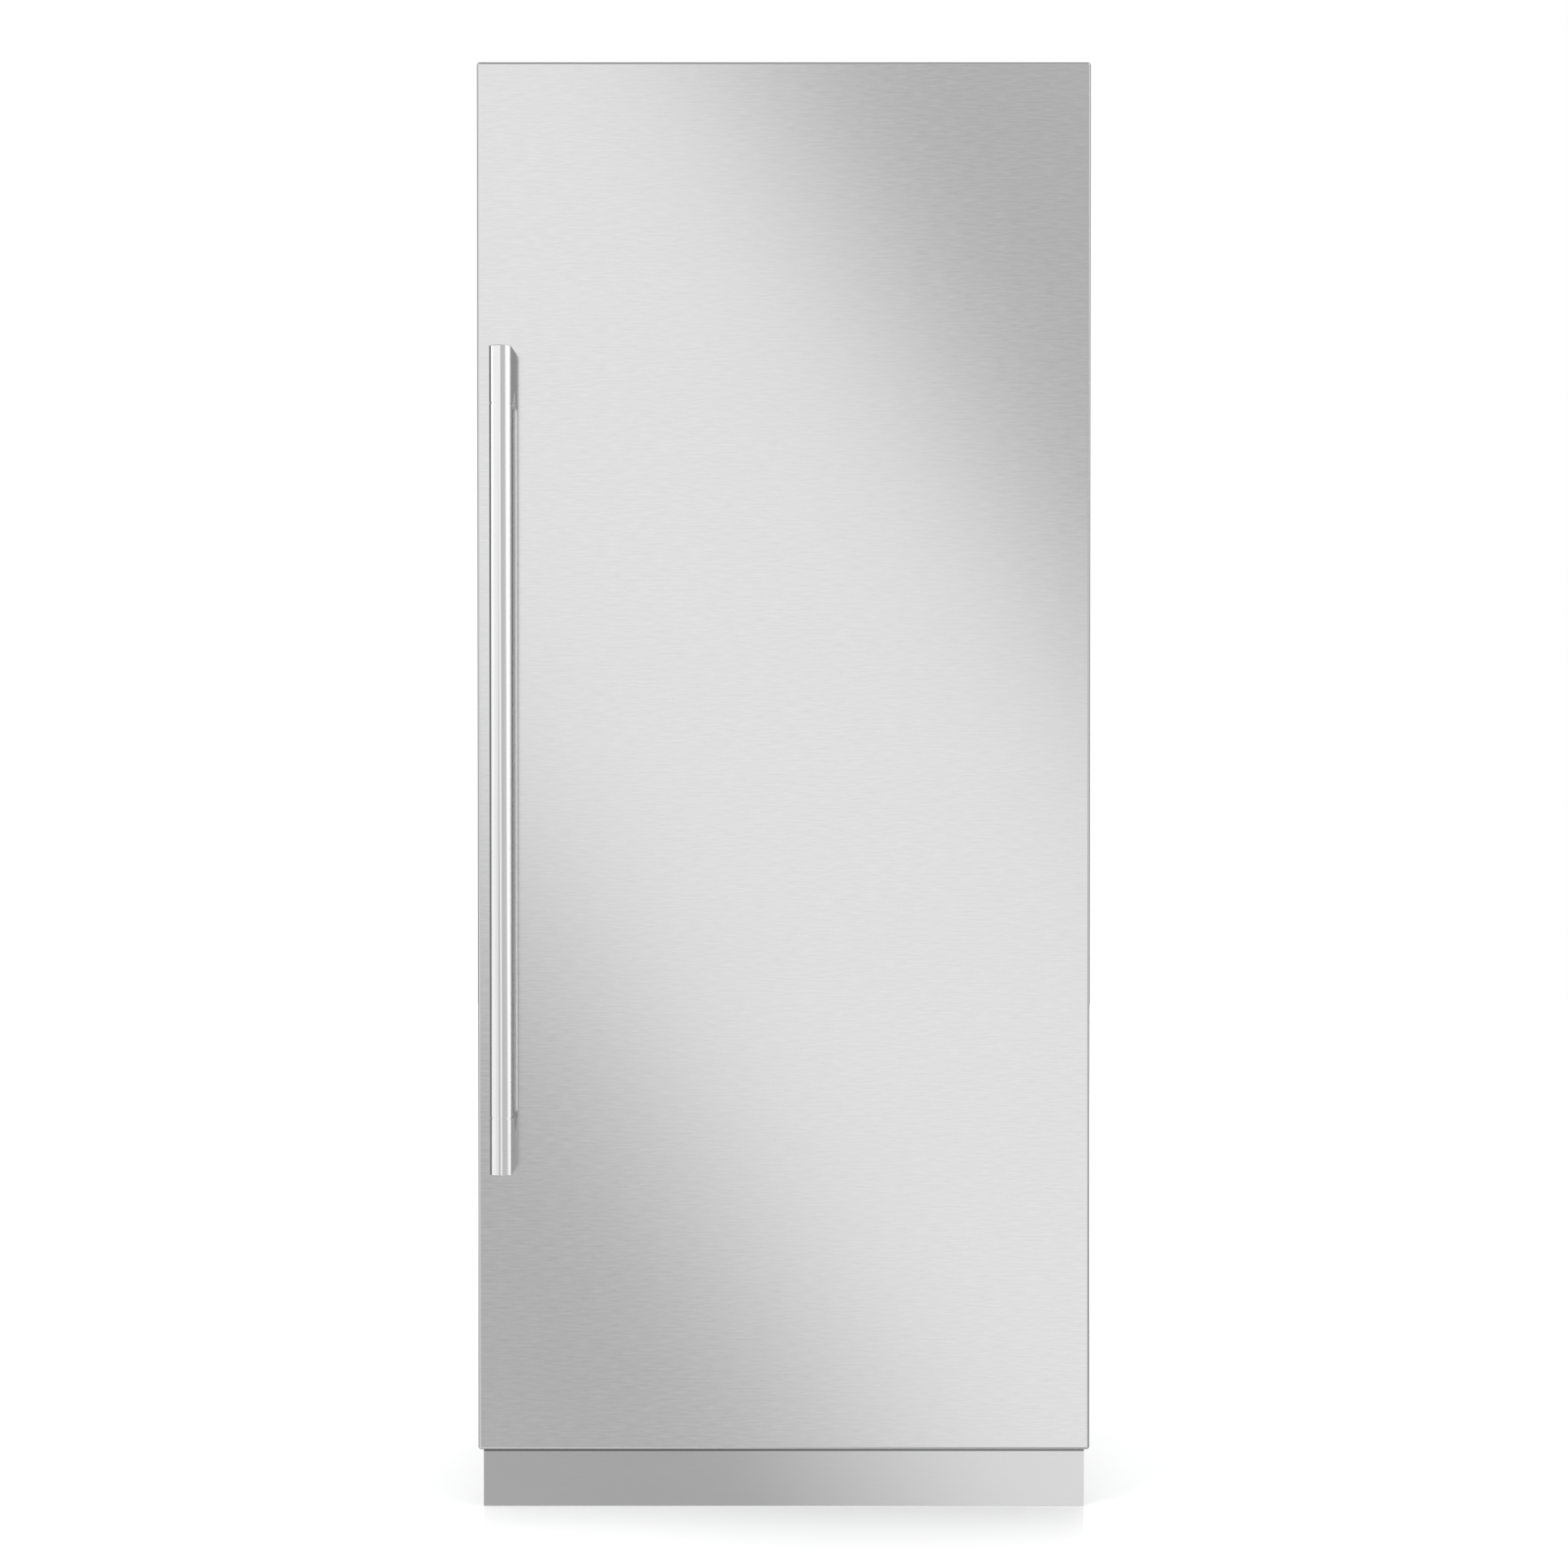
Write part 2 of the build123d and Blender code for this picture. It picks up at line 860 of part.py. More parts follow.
# Foam between the skin and the liner
with BuildPart() as cabinet_insulation:
    with BuildSketch(sideways(sheet - half_width)) as outline:
        with BuildLine():
            Polyline(
                *floor_profile(0),
                (skin_back, case_top - sheet),
                (frame_y, case_top - sheet),
                close=True,
            )
        make_face()
    extrude(amount=case_width - 2 * sheet)
    back_beads(sheet, skin_back, Mode.ADD)
    add(room_solid(liner_sheet), mode=Mode.SUBTRACT)
keep(cabinet_insulation, "cabinet_insulation")

# Base frame: two channels, a front beam, the machine room's tray, leg nuts and roller forks
rail_outer = half_width - sheet - rail_inset
beam_y = case_front + front_beam_setback
leg_x = half_width - leg_inset
leg_y = case_front + leg_setback
roller_x = half_width - roller_inset
roller_y = case_back - roller_back
fork_half = roller_width / 2 + fork_play
frame_top = case_bottom - hinge_plate
tray_half = rail_outer - rail_sheet
toe_y = panel_front + toe_recess
with BuildPart() as base_frame:
    for side in (-1, 1):
        with BuildSketch(upright(skin_back)) as channel:
            with BuildLine():
                Polyline(
                    (side * rail_outer, frame_bottom),
                    (side * rail_outer, frame_top),
                    (side * (rail_outer - rail_width), frame_top),
                    (side * (rail_outer - rail_width), frame_top - rail_sheet),
                    (side * (rail_outer - rail_sheet), frame_top - rail_sheet),
                    (side * (rail_outer - rail_sheet), frame_bottom + rail_sheet),
                    (side * (rail_outer - rail_width), frame_bottom + rail_sheet),
                    (side * (rail_outer - rail_width), frame_bottom),
                    close=True,
                )
            make_face()
        extrude(amount=skin_back - frame_y)
    with BuildSketch(sideways(-tray_half)) as beam:
        with BuildLine():
            Polyline(
                (beam_y, frame_bottom),
                (beam_y, frame_top),
                (beam_y + rail_sheet, frame_top),
                (beam_y + rail_sheet, frame_bottom + rail_sheet),
                (beam_y + front_beam_depth, frame_bottom + rail_sheet),
                (beam_y + front_beam_depth, frame_bottom),
                close=True,
            )
        make_face()
    extrude(amount=2 * tray_half)
    slab(-tray_half, tray_half, machine_front, skin_back, frame_bottom, machine_floor)
    for side in (-1, 1):
        far = side * rail_outer
        near = side * (rail_outer - rail_width)
        slab(
            min(far, near),
            max(far, near),
            foot_mid_y + hinge_foot_depth / 2 + fit,
            machine_front,
            frame_top,
            case_bottom,
        )
        with BuildSketch(level(frame_bottom)) as nut:
            with Locations((side * leg_x, leg_y)):
                RegularPolygon(leg_nut_radius, 6)
        extrude(amount=frame_top - rail_sheet - frame_bottom - leg_travel_room)
        for cheek in (-1, 1):
            near = side * roller_x + cheek * fork_half
            far = near + cheek * fork_sheet
            with BuildSketch(sideways(min(near, far))) as fork:
                with BuildLine():
                    left = roller_y - axle_radius - fork_margin
                    right = roller_y + axle_radius + fork_margin
                    Polyline((left, machine_floor), (left, roller_radius))
                    ThreePointArc(
                        (left, roller_radius),
                        (roller_y, roller_radius - axle_radius - fork_margin),
                        (right, roller_radius),
                    )
                    Polyline((right, roller_radius), (right, machine_floor), (left, machine_floor))
                make_face()
            extrude(amount=fork_sheet)
        wheel_room = roller_radius + fork_margin / 2
        slab(
            side * roller_x - fork_half,
            side * roller_x + fork_half,
            roller_y - wheel_room,
            roller_y + wheel_room,
            frame_bottom - overrun,
            machine_floor + overrun,
            mode=Mode.SUBTRACT,
        )
        with BuildSketch(sideways(side * roller_x - fork_half - fork_sheet)) as axle:
            with Locations((roller_y, roller_radius)):
                Circle(axle_radius)
        extrude(amount=2 * (fork_half + fork_sheet))
        with BuildSketch(level(frame_bottom - overrun)) as thread:
            with Locations((side * leg_x, leg_y)):
                Circle(leg_stem_radius + bearing_fit)
        extrude(amount=frame_top, mode=Mode.SUBTRACT)
keep(base_frame, "base_frame")

# Levelling legs and rear rollers
for side, name in ((-1, "levelling_leg_left"), (1, "levelling_leg_right")):
    with BuildPart() as leg:
        with BuildSketch(level(0)) as pad:
            with Locations((side * leg_x, leg_y)):
                Circle(leg_pad_radius)
        extrude(amount=leg_pad_height)
        fillet(leg.faces().sort_by(Axis.Z)[-1].edges(), leg_pad_round)
        with BuildSketch(level(leg_pad_height)) as stem:
            with Locations((side * leg_x, leg_y)):
                Circle(leg_stem_radius)
        extrude(amount=leg_stem_length)
        chamfer(leg.faces().sort_by(Axis.Z)[-1].edges(), leg_stem_radius / 4)
    keep(leg, name)

for side, name in ((-1, "rear_roller_left"), (1, "rear_roller_right")):
    with BuildPart() as roller:
        with BuildSketch(sideways(side * roller_x - roller_width / 2)) as tread:
            with Locations((roller_y, roller_radius)):
                Circle(roller_radius)
        extrude(amount=roller_width)
        fillet(roller.edges(), roller_round)
        with BuildSketch(sideways(side * roller_x - roller_width / 2)) as bore:
            with Locations((roller_y, roller_radius)):
                Circle(axle_radius + bearing_fit)
        extrude(amount=roller_width, mode=Mode.SUBTRACT)
    keep(roller, name)

# Toe kick: a folded sheet in front of the base, held by two tabs on its back
toe_top = panel_bottom - toe_gap
with BuildPart() as toe_kick:
    with BuildSketch(sideways(-toe_width / 2)) as profile:
        with BuildLine():
            Polyline(
                (toe_y, toe_floor_gap),
                (toe_y, toe_top),
                (toe_y + toe_return, toe_top),
                (toe_y + toe_return, toe_top - sheet),
                (toe_y + sheet, toe_top - sheet),
                (toe_y + sheet, toe_floor_gap + sheet),
                (toe_y + toe_return, toe_floor_gap + sheet),
                (toe_y + toe_return, toe_floor_gap),
                close=True,
            )
        make_face()
    extrude(amount=toe_width)
    for side in (-1, 1):
        place = side * toe_width / 4
        slab(
            place - toe_tab_width / 2,
            place + toe_tab_width / 2,
            toe_y + sheet,
            beam_y,
            frame_bottom + toe_tab_height - sheet,
            frame_bottom + toe_tab_height,
        )
        slab(
            place - toe_tab_width / 2,
            place + toe_tab_width / 2,
            beam_y - sheet,
            beam_y,
            frame_bottom,
            frame_bottom + toe_tab_height,
        )
keep(toe_kick, "toe_kick")

# Compressor: a welded steel shell with a seam, on a foot plate with four rubber grommets
compressor_y = case_back - compressor_back
plate_low = machine_floor + grommet_lip
shell_low = plate_low + foot_plate
foot_span_x = foot_plate_width - 2 * foot_hole_margin
foot_span_y = foot_plate_depth - 2 * foot_hole_margin
with BuildPart() as compressor:
    with BuildSketch(level(shell_low)) as shell:
        with Locations((compressor_x, compressor_y)):
            Ellipse(compressor_long / 2 - compressor_seam, compressor_wide / 2 - compressor_seam)
    extrude(amount=compressor_height)
    fillet(compressor.faces().sort_by(Axis.Z)[-1].edges(), compressor_dome)
    with BuildSketch(level(shell_low + compressor_height / 2)) as seam:
        with Locations((compressor_x, compressor_y)):
            Ellipse(compressor_long / 2, compressor_wide / 2)
    extrude(amount=compressor_seam_height)
    with BuildSketch(level(plate_low)) as feet:
        with Locations((compressor_x, compressor_y)):
            RectangleRounded(foot_plate_width, foot_plate_depth, foot_hole_margin)
            with GridLocations(foot_span_x, foot_span_y, 2, 2):
                Circle(grommet_neck, mode=Mode.SUBTRACT)
    extrude(amount=foot_plate)
    box_x = compressor_x + compressor_long / 2
    slab(
        box_x - terminal_depth,
        box_x + terminal_depth / 2,
        compressor_y - terminal_width / 2,
        compressor_y + terminal_width / 2,
        shell_low + foot_plate,
        shell_low + terminal_height,
    )
    with BuildSketch(sideways(compressor_x - compressor_long / 2 - pipe_reach)) as pipes:
        with Locations((compressor_y, shell_low + compressor_height / 3)):
            with GridLocations(compressor_wide / 3, 0, 2, 1):
                Circle(pipe_radius)
    extrude(amount=compressor_long / 2)
keep(compressor, "compressor")

with BuildPart() as compressor_grommets:
    for width, near, far in (
        (grommet_radius, machine_floor, plate_low),
        (grommet_neck, plate_low, plate_low + foot_plate),
        (grommet_radius - grommet_lip / 2, plate_low + foot_plate, machine_floor + grommet_height),
    ):
        with BuildSketch(level(near)) as ring:
            with Locations((compressor_x, compressor_y)):
                with GridLocations(foot_span_x, foot_span_y, 2, 2):
                    Circle(width)
        extrude(amount=far - near)
keep(compressor_grommets, "compressor_grommets")

# Condenser: straight tubes through flat fins, at the left of the machine room
coil_left = coil_inset - tray_half
coil_y = case_back - coil_back - coil_depth
coil_low = machine_floor + coil_bottom_gap
coil_mid = (coil_left + coil_width / 2, coil_low + coil_height / 2)
coil_pitch_x = coil_width / coil_columns
coil_pitch_z = coil_height / coil_rows
with BuildPart() as condenser_coil:
    with BuildSketch(upright(coil_y + coil_depth)) as tubes:
        with Locations(coil_mid):
            with GridLocations(coil_pitch_x, coil_pitch_z, coil_columns, coil_rows):
                Circle(coil_tube)
    extrude(amount=coil_depth)
    fin_pitch = (coil_depth - 2 * coil_end) / (coil_fins - 1)
    for index in range(coil_fins):
        end_plate = index in (0, coil_fins - 1)
        with BuildSketch(upright(coil_y + coil_end + index * fin_pitch)) as fin:
            with Locations(coil_mid):
                Rectangle(coil_width, coil_height)
            if end_plate:
                with Locations((coil_mid[0], machine_floor + coil_bottom_gap / 2)):
                    Rectangle(coil_width, coil_bottom_gap)
        extrude(amount=coil_fin, both=True)
keep(condenser_coil, "condenser_coil")

# Drain pan: a drafted tray at the right of the machine room
drain_left = compressor_x + compressor_long / 2 + terminal_depth / 2 + drain_gap
drain_width = tray_half - drain_inset - drain_left
drain_x = drain_left + drain_width / 2
drain_y = case_back - drain_back - drain_depth / 2
drain_low = machine_floor + drain_foot
with BuildPart() as drain_pan:
    with BuildSketch(level(drain_low)) as outline:
        with Locations((drain_x, drain_y)):
            RectangleRounded(drain_width, drain_depth, drain_round)
    extrude(amount=drain_height, taper=-drain_taper)
    with BuildSketch(level(drain_low + drain_wall)) as hollow:
        with Locations((drain_x, drain_y)):
            RectangleRounded(
                drain_width - 2 * drain_wall, drain_depth - 2 * drain_wall, drain_round - drain_wall
            )
    extrude(amount=drain_height, taper=-drain_taper, mode=Mode.SUBTRACT)
    with BuildSketch(level(machine_floor)) as feet:
        with Locations((drain_x, drain_y)):
            with GridLocations(drain_width / 2, drain_depth / 2, 2, 2):
                Circle(drain_foot)
    extrude(amount=drain_foot)
keep(drain_pan, "drain_pan")


# Fans: a domed hub and twisted, cambered blades round the Z axis
def fan_rotor(hub, tip, deep, count):
    """A bladed rotor that lies on the XY plane, centred on the origin."""
    with BuildPart() as blade:
        for radius, chord_share, pitch in (
            (hub - hub * blade_thick_share, blade_root_chord_share, blade_root_pitch),
            ((hub + tip) / 2, (blade_root_chord_share + blade_tip_chord_share) / 2,
             (blade_root_pitch + blade_tip_pitch) / 2),
            (tip + tip * blade_thick_share, blade_tip_chord_share, blade_tip_pitch),
        ):
            chord = chord_share * (tip - hub) / 2
            rise = chord * (blade_camber_share + blade_thick_share)
            sag = chord * (blade_camber_share - blade_thick_share)
            station = Plane(origin=(radius, 0, deep / 2), x_dir=(0, 1, 0), z_dir=(1, 0, 0))
            with BuildSketch(station.rotated((0, 0, pitch))) as section:
                with BuildLine():
                    ThreePointArc((-chord, 0), (0, rise), (chord, 0))
                    ThreePointArc((chord, 0), (0, sag), (-chord, 0))
                make_face()
        loft()
    with BuildPart() as rotor:
        with BuildSketch() as disc:
            Circle(hub)
        extrude(amount=deep)
        fillet(rotor.faces().sort_by(Axis.Z)[-1].edges(), hub * hub_round_share)
        for index in range(count):
            add(blade.part, rotation=(0, 0, index * 360 / count))
        with BuildSketch() as sweep_round:
            Circle(tip)
        extrude(amount=2 * deep, both=True, mode=Mode.INTERSECT)
        with BuildSketch() as bore:
            Circle(shaft_radius + bearing_fit)
        extrude(amount=deep * bore_share, mode=Mode.SUBTRACT)
    return rotor.part


def fan_housing(hub, tip, deep, room, depth):
    """A square shroud with a round throat, three struts, the motor and its shaft."""
    throat = tip + room
    outer = 2 * (throat + shroud_margin)
    with BuildPart() as housing:
        with BuildSketch(Plane.XY.offset(-motor_gap - strut_width)) as plate:
            RectangleRounded(outer, outer, shroud_margin)
            Circle(throat, mode=Mode.SUBTRACT)
        extrude(amount=depth)
        motor = hub * motor_radius_share
        with BuildSketch(Plane.XY.offset(-motor_gap - motor_length)) as can:
            Circle(motor)
        extrude(amount=motor_length)
        with BuildSketch(Plane.XY.offset(-motor_gap - strut_width)) as struts:
            with PolarLocations((throat + motor) / 2, strut_count):
                Rectangle(throat - motor + shroud_margin, strut_width)
        extrude(amount=strut_width)
        with BuildSketch(Plane.XY.offset(-motor_gap)) as shaft:
            Circle(shaft_radius)
        extrude(amount=motor_gap + deep / 2)
    return housing.part


# Condenser fan: blows along X between the coil and the compressor
throat_outer = condenser_fan_tip + condenser_fan_room + shroud_margin
fan_x = coil_left + coil_width + condenser_fan_gap
fan_plane = Plane(
    origin=(fan_x, coil_y + coil_depth / 2, machine_floor + throat_outer),
    x_dir=(0, 1, 0),
    z_dir=(-1, 0, 0),
)
with BuildPart() as condenser_fan:
    with Locations(fan_plane):
        add(
            fan_rotor(
                condenser_fan_hub, condenser_fan_tip, condenser_fan_deep, condenser_fan_blades
            )
        )
keep(condenser_fan, "condenser_fan")

with BuildPart() as condenser_fan_frame:
    with Locations(fan_plane):
        add(
            fan_housing(
                condenser_fan_hub,
                condenser_fan_tip,
                condenser_fan_deep,
                condenser_fan_room,
                condenser_fan_deep + strut_width,
            )
        )
keep(condenser_fan_frame, "condenser_fan_frame")

# Evaporator, its fan and the duct cover on the cold room's back wall
duct_low = crisper_top + duct_gap
duct_high = room_top - duct_top_gap
duct_height = duct_high - duct_low
duct_front = room_back - duct_depth
fan_z = duct_low + fan_height
evaporator_low = duct_low + evaporator_floor_gap
evaporator_back = room_back - duct_wall
evaporator_mid = (0, evaporator_low + evaporator_height / 2)
with BuildPart() as evaporator:
    with BuildSketch(sideways(-evaporator_width / 2)) as tubes:
        with Locations((evaporator_back - evaporator_depth / 2, evaporator_mid[1])):
            with GridLocations(0, evaporator_height / evaporator_tubes, 1, evaporator_tubes):
                Circle(evaporator_tube)
    extrude(amount=evaporator_width)
    fin_step = (evaporator_width - 2 * evaporator_end) / (evaporator_fins - 1)
    for index in range(evaporator_fins):
        place = evaporator_end - evaporator_width / 2 + index * fin_step
        end_plate = index in (0, evaporator_fins - 1)
        slab(
            place - evaporator_fin / 2,
            place + evaporator_fin / 2,
            evaporator_back - evaporator_depth,
            room_back if end_plate else evaporator_back,
            evaporator_low,
            evaporator_low + evaporator_height,
        )
keep(evaporator, "evaporator")

air_plane = Plane(
    origin=(0, duct_front + duct_wall + evaporator_fan_deep + motor_gap, fan_z),
    x_dir=(1, 0, 0),
    z_dir=(0, -1, 0),
)
with BuildPart() as evaporator_fan:
    with Locations(air_plane):
        add(
            fan_rotor(
                evaporator_fan_hub, evaporator_fan_tip, evaporator_fan_deep, evaporator_fan_blades
            )
        )
keep(evaporator_fan, "evaporator_fan")

with BuildPart() as evaporator_fan_frame:
    with Locations(air_plane):
        add(
            fan_housing(
                evaporator_fan_hub,
                evaporator_fan_tip,
                evaporator_fan_deep,
                evaporator_fan_room,
                evaporator_fan_deep + strut_width + motor_gap,
            )
        )
keep(evaporator_fan_frame, "evaporator_fan_frame")

duct_mid = (duct_low + duct_high) / 2
with BuildPart() as air_duct_cover:
    with BuildSketch(upright(room_back)) as outline:
        with Locations((0, duct_mid)):
            RectangleRounded(duct_width, duct_height, duct_round)
    extrude(amount=duct_depth)
    fillet(air_duct_cover.faces().sort_by(Axis.Y)[0].edges(), duct_round / 2)
    with BuildSketch(upright(room_back)) as hollow:
        with Locations((0, duct_mid)):
            RectangleRounded(
                duct_width - 2 * duct_wall, duct_height - 2 * duct_wall, duct_round - duct_wall
            )
    extrude(amount=duct_depth - duct_round / 2 - duct_wall / 2, mode=Mode.SUBTRACT)
    with BuildSketch(upright(room_back)) as deep_hollow:
        with Locations((0, duct_mid)):
            RectangleRounded(
                duct_width - duct_round - duct_wall,
                duct_height - duct_round - duct_wall,
                duct_round - duct_wall,
            )
    extrude(amount=duct_depth - duct_wall, mode=Mode.SUBTRACT)
    with BuildSketch(upright(duct_front + overrun)) as grille:
        with Locations((0, fan_z)):
            bar_pitch = 2 * evaporator_fan_tip / fan_grille_bars
            for index in range(fan_grille_bars):
                drop = (index - (fan_grille_bars - 1) / 2) * bar_pitch
                length = 2 * (evaporator_fan_tip**2 - drop**2) ** 0.5
                with Locations((0, drop)):
                    SlotOverall(length, bar_pitch / 2)
        for end in (duct_low + vent_drop, duct_high - vent_drop):
            for side in (-1, 1):
                with Locations((side * (duct_width / 2 - vent_inset), end)):
                    with GridLocations(0, slot_pitch, 1, slot_rows):
                        SlotOverall(slot_width, slot_height)
    extrude(amount=2 * overrun, mode=Mode.SUBTRACT)
keep(air_duct_cover, "air_duct_cover")

# Shelf tracks: two slotted channels on the back wall
track_low = crisper_top + track_floor_gap
track_front = room_back - track_depth
track_x = room_half - track_inset
track_slots = round((room_top - track_top_gap - track_low) / track_pitch)
track_height = track_slots * track_pitch
shelf_step = (track_slots - shelf_spare_slots) // shelf_count
shelf_slots = [
    track_slots - shelf_top_slots - rank * shelf_step for rank in reversed(range(shelf_count))
]
with BuildPart() as shelf_tracks:
    for side in (-1, 1):
        with BuildSketch(level(track_low)) as channel:
            with Locations((side * track_x, room_back - track_depth / 2)):
                Rectangle(track_width, track_depth)
            with Locations((side * track_x, room_back - track_depth / 2 + track_sheet)):
                Rectangle(track_width - 2 * track_sheet, track_depth, mode=Mode.SUBTRACT)
        extrude(amount=track_height)
    with BuildSketch(upright(track_front + track_sheet)) as slots:
        with Locations((0, track_low + track_height / 2)):
            with GridLocations(2 * track_x, track_pitch, 2, track_slots):
                Rectangle(track_slot_width, track_slot_height)
    extrude(amount=track_sheet, mode=Mode.SUBTRACT)
keep(shelf_tracks, "shelf_tracks")

# Shelves: a moulded frame with two steel arms hooked into the tracks, and a glass let into it
shelf_y0 = case_front + shelf_front_setback
shelf_y1 = duct_front - shelf_duct_gap
shelf_mid = (0, (shelf_y0 + shelf_y1) / 2)
shelf_wide = 2 * (room_half - shelf_side_gap)
shelf_deep = shelf_y1 - shelf_y0
arm_rear_height = track_pitch + arm_hook_height
arm_back = track_front - fit
for number, slot in enumerate(shelf_slots, start=1):
    slot_z = track_low + slot * track_pitch + track_pitch / 2
    under = slot_z + arm_hook_height / 2
    with BuildPart() as shelf_frame:
        with BuildSketch(level(under)) as outline:
            with Locations(shelf_mid):
                RectangleRounded(shelf_wide, shelf_deep, shelf_corner)
                Rectangle(
                    shelf_wide - 2 * shelf_bar, shelf_deep - 2 * shelf_bar, mode=Mode.SUBTRACT
                )
        extrude(amount=shelf_height)
        with BuildSketch(level(under + shelf_height - shelf_glass)) as rebate:
            with Locations(shelf_mid):
                Rectangle(
                    shelf_wide - 2 * shelf_bar + 2 * shelf_lap,
                    shelf_deep - 2 * shelf_bar + 2 * shelf_lap,
                )
        extrude(amount=shelf_glass, mode=Mode.SUBTRACT)
        for side in (-1, 1):
            with BuildSketch(sideways(side * track_x - arm_width / 2)) as arm:
                with BuildLine():
                    Polyline(
                        (shelf_y0 + arm_front_margin, under),
                        (arm_back, under),
                        (arm_back, under - arm_rear_height),
                        (arm_back - arm_hook_height, under - arm_rear_height),
                        (shelf_y0 + arm_front_margin, under - arm_front_height),
                        close=True,
                    )
                make_face()
                for hook_z in (slot_z, slot_z - track_pitch):
                    with Locations((arm_back + arm_hook_reach / 2, hook_z)):
                        Rectangle(arm_hook_reach, arm_hook_height)
            extrude(amount=arm_width)
    keep(shelf_frame, f"shelf_frame_{number}")
    with BuildPart() as shelf_glass_plate:
        with BuildSketch(level(under + shelf_height - shelf_glass)) as pane:
            with Locations(shelf_mid):
                Rectangle(
                    shelf_wide - 2 * shelf_bar + 2 * shelf_lap - 2 * fit,
                    shelf_deep - 2 * shelf_bar + 2 * shelf_lap - 2 * fit,
                )
        extrude(amount=shelf_glass)
    keep(shelf_glass_plate, f"shelf_glass_{number}")

# Crisper frame: front and rear bars, side rails and the divider that the two drawers run on
ledge_top = crisper_top - crisper_rail_height + crisper_ledge_height
drawer_y0 = case_front + drawer_front_setback
crisper_depth = room_back - crisper_back_gap - drawer_y0 - drawer_front
lower_drawer_depth = step_y - lower_drawer_back_gap - drawer_y0 - drawer_front
rail_y0 = drawer_y0 + drawer_front + drawer_play
cover_back = room_back - liner_corner
glass_low = crisper_top - crisper_glass
lane_mid = (divider_web / 2 + room_half - crisper_rail_width) / 2
slider_z = crisper_top - crisper_bar / 2
with BuildPart() as crisper_frame:
    slab(-room_half, room_half, rail_y0, rail_y0 + crisper_bar, crisper_top - crisper_bar, crisper_top)
    fillet(crisper_frame.edges().filter_by(Axis.X).group_by(Axis.Y)[0], crisper_bar / 6)
    slab(
        -room_half,
        room_half,
        cover_back - crisper_bar,
        cover_back,
        crisper_top - crisper_bar,
        glass_low,
    )
    for side in (-1, 1):
        with BuildSketch(upright(cover_back)) as rail:
            with BuildLine():
                outer = side * room_half
                inner = side * (room_half - crisper_rail_width)
                ledge = side * (room_half - crisper_rail_width - crisper_ledge)
                Polyline(
                    (outer, ledge_top - crisper_ledge_height),
                    (outer, glass_low),
                    (inner, glass_low),
                    (inner, ledge_top),
                    (ledge, ledge_top),
                    (ledge, ledge_top - crisper_ledge_height),
                    close=True,
                )
            make_face()
        extrude(amount=cover_back - rail_y0)
    with BuildSketch(upright(cover_back)) as divider:
        with Locations((0, (ledge_top + glass_low) / 2)):
            Rectangle(divider_web, glass_low - ledge_top)
        with Locations((0, ledge_top - crisper_ledge_height / 2)):
            Rectangle(divider_web + 2 * crisper_ledge, crisper_ledge_height)
    extrude(amount=cover_back - rail_y0)
    with BuildSketch(upright(rail_y0 + slider_slot)) as grooves:
        with Locations((0, slider_z)):
            with GridLocations(2 * lane_mid, 0, 2, 1):
                SlotOverall(2 * slider_travel + slider_width, slider_stem + 2 * fit)
    extrude(amount=slider_slot, mode=Mode.SUBTRACT)
keep(crisper_frame, "crisper_frame")

with BuildPart() as crisper_cover:
    slab(
        fit - room_half,
        room_half - fit,
        rail_y0 + crisper_bar + fit,
        cover_back,
        glass_low,
        crisper_top,
    )
keep(crisper_cover, "crisper_cover")

# Humidity sliders: a thumb piece in front of the bar, its stem in the groove
for side, name in ((-1, "humidity_slider_left"), (1, "humidity_slider_right")):
    with BuildPart() as slider:
        with BuildSketch(upright(rail_y0 - fit)) as thumb:
            with Locations((side * lane_mid, slider_z)):
                RectangleRounded(slider_width, slider_height, slider_height / 4)
        extrude(amount=slider_depth)
        with BuildSketch(upright(rail_y0 - fit - slider_depth)) as grips:
            with Locations((side * lane_mid, slider_z)):
                with GridLocations(2 * slider_grip, 0, 3, 1):
                    Rectangle(slider_grip / 2, slider_height / 2)
        extrude(amount=-slider_grip / 2, mode=Mode.SUBTRACT)
        with BuildSketch(upright(rail_y0 - fit)) as stem:
            with Locations((side * lane_mid, slider_z)):
                Rectangle(slider_width / 2, slider_stem)
        extrude(amount=-slider_slot)
    keep(slider, name)


# Drawers: a drafted tray with side flanges, a front plate and a grip cut through it
def drawer(left, right, body_left, body_right, top, height, depth):
    """One drawer between its flange ends, hung by the flanges at its top."""
    tray_y0 = drawer_y0 + drawer_front
    middle = ((body_left + body_right) / 2, tray_y0 + depth / 2)
    wide = body_right - body_left
    with BuildPart() as tray:
        with BuildSketch(level(top)) as outline:
            with Locations(middle):
                RectangleRounded(wide, depth, drawer_round)
        extrude(amount=-height, taper=drawer_draft)
        slab(left, right, tray_y0, tray_y0 + depth - drawer_round, top - drawer_flange, top)
        with BuildSketch(level(top)) as hollow:
            with Locations(middle):
                RectangleRounded(
                    wide - 2 * drawer_wall, depth - 2 * drawer_wall, drawer_round - drawer_wall
                )
        extrude(amount=drawer_wall - height, taper=drawer_draft, mode=Mode.SUBTRACT)
        with BuildSketch(upright(tray_y0)) as front:
            with Locations(((left + right) / 2, top - height / 2 + drawer_front_rise / 2)):
                RectangleRounded(right - left, height + drawer_front_rise, drawer_round / 2)
        extrude(amount=drawer_front)
        fillet(tray.faces().sort_by(Axis.Y)[0].edges(), drawer_front / 3)
        with BuildSketch(upright(tray_y0 + drawer_round)) as grip:
            with Locations(((left + right) / 2, top - pull_drop - pull_height / 2)):
                SlotOverall(pull_width, pull_height)
        extrude(amount=drawer_round + drawer_front + overrun, mode=Mode.SUBTRACT)
    return tray


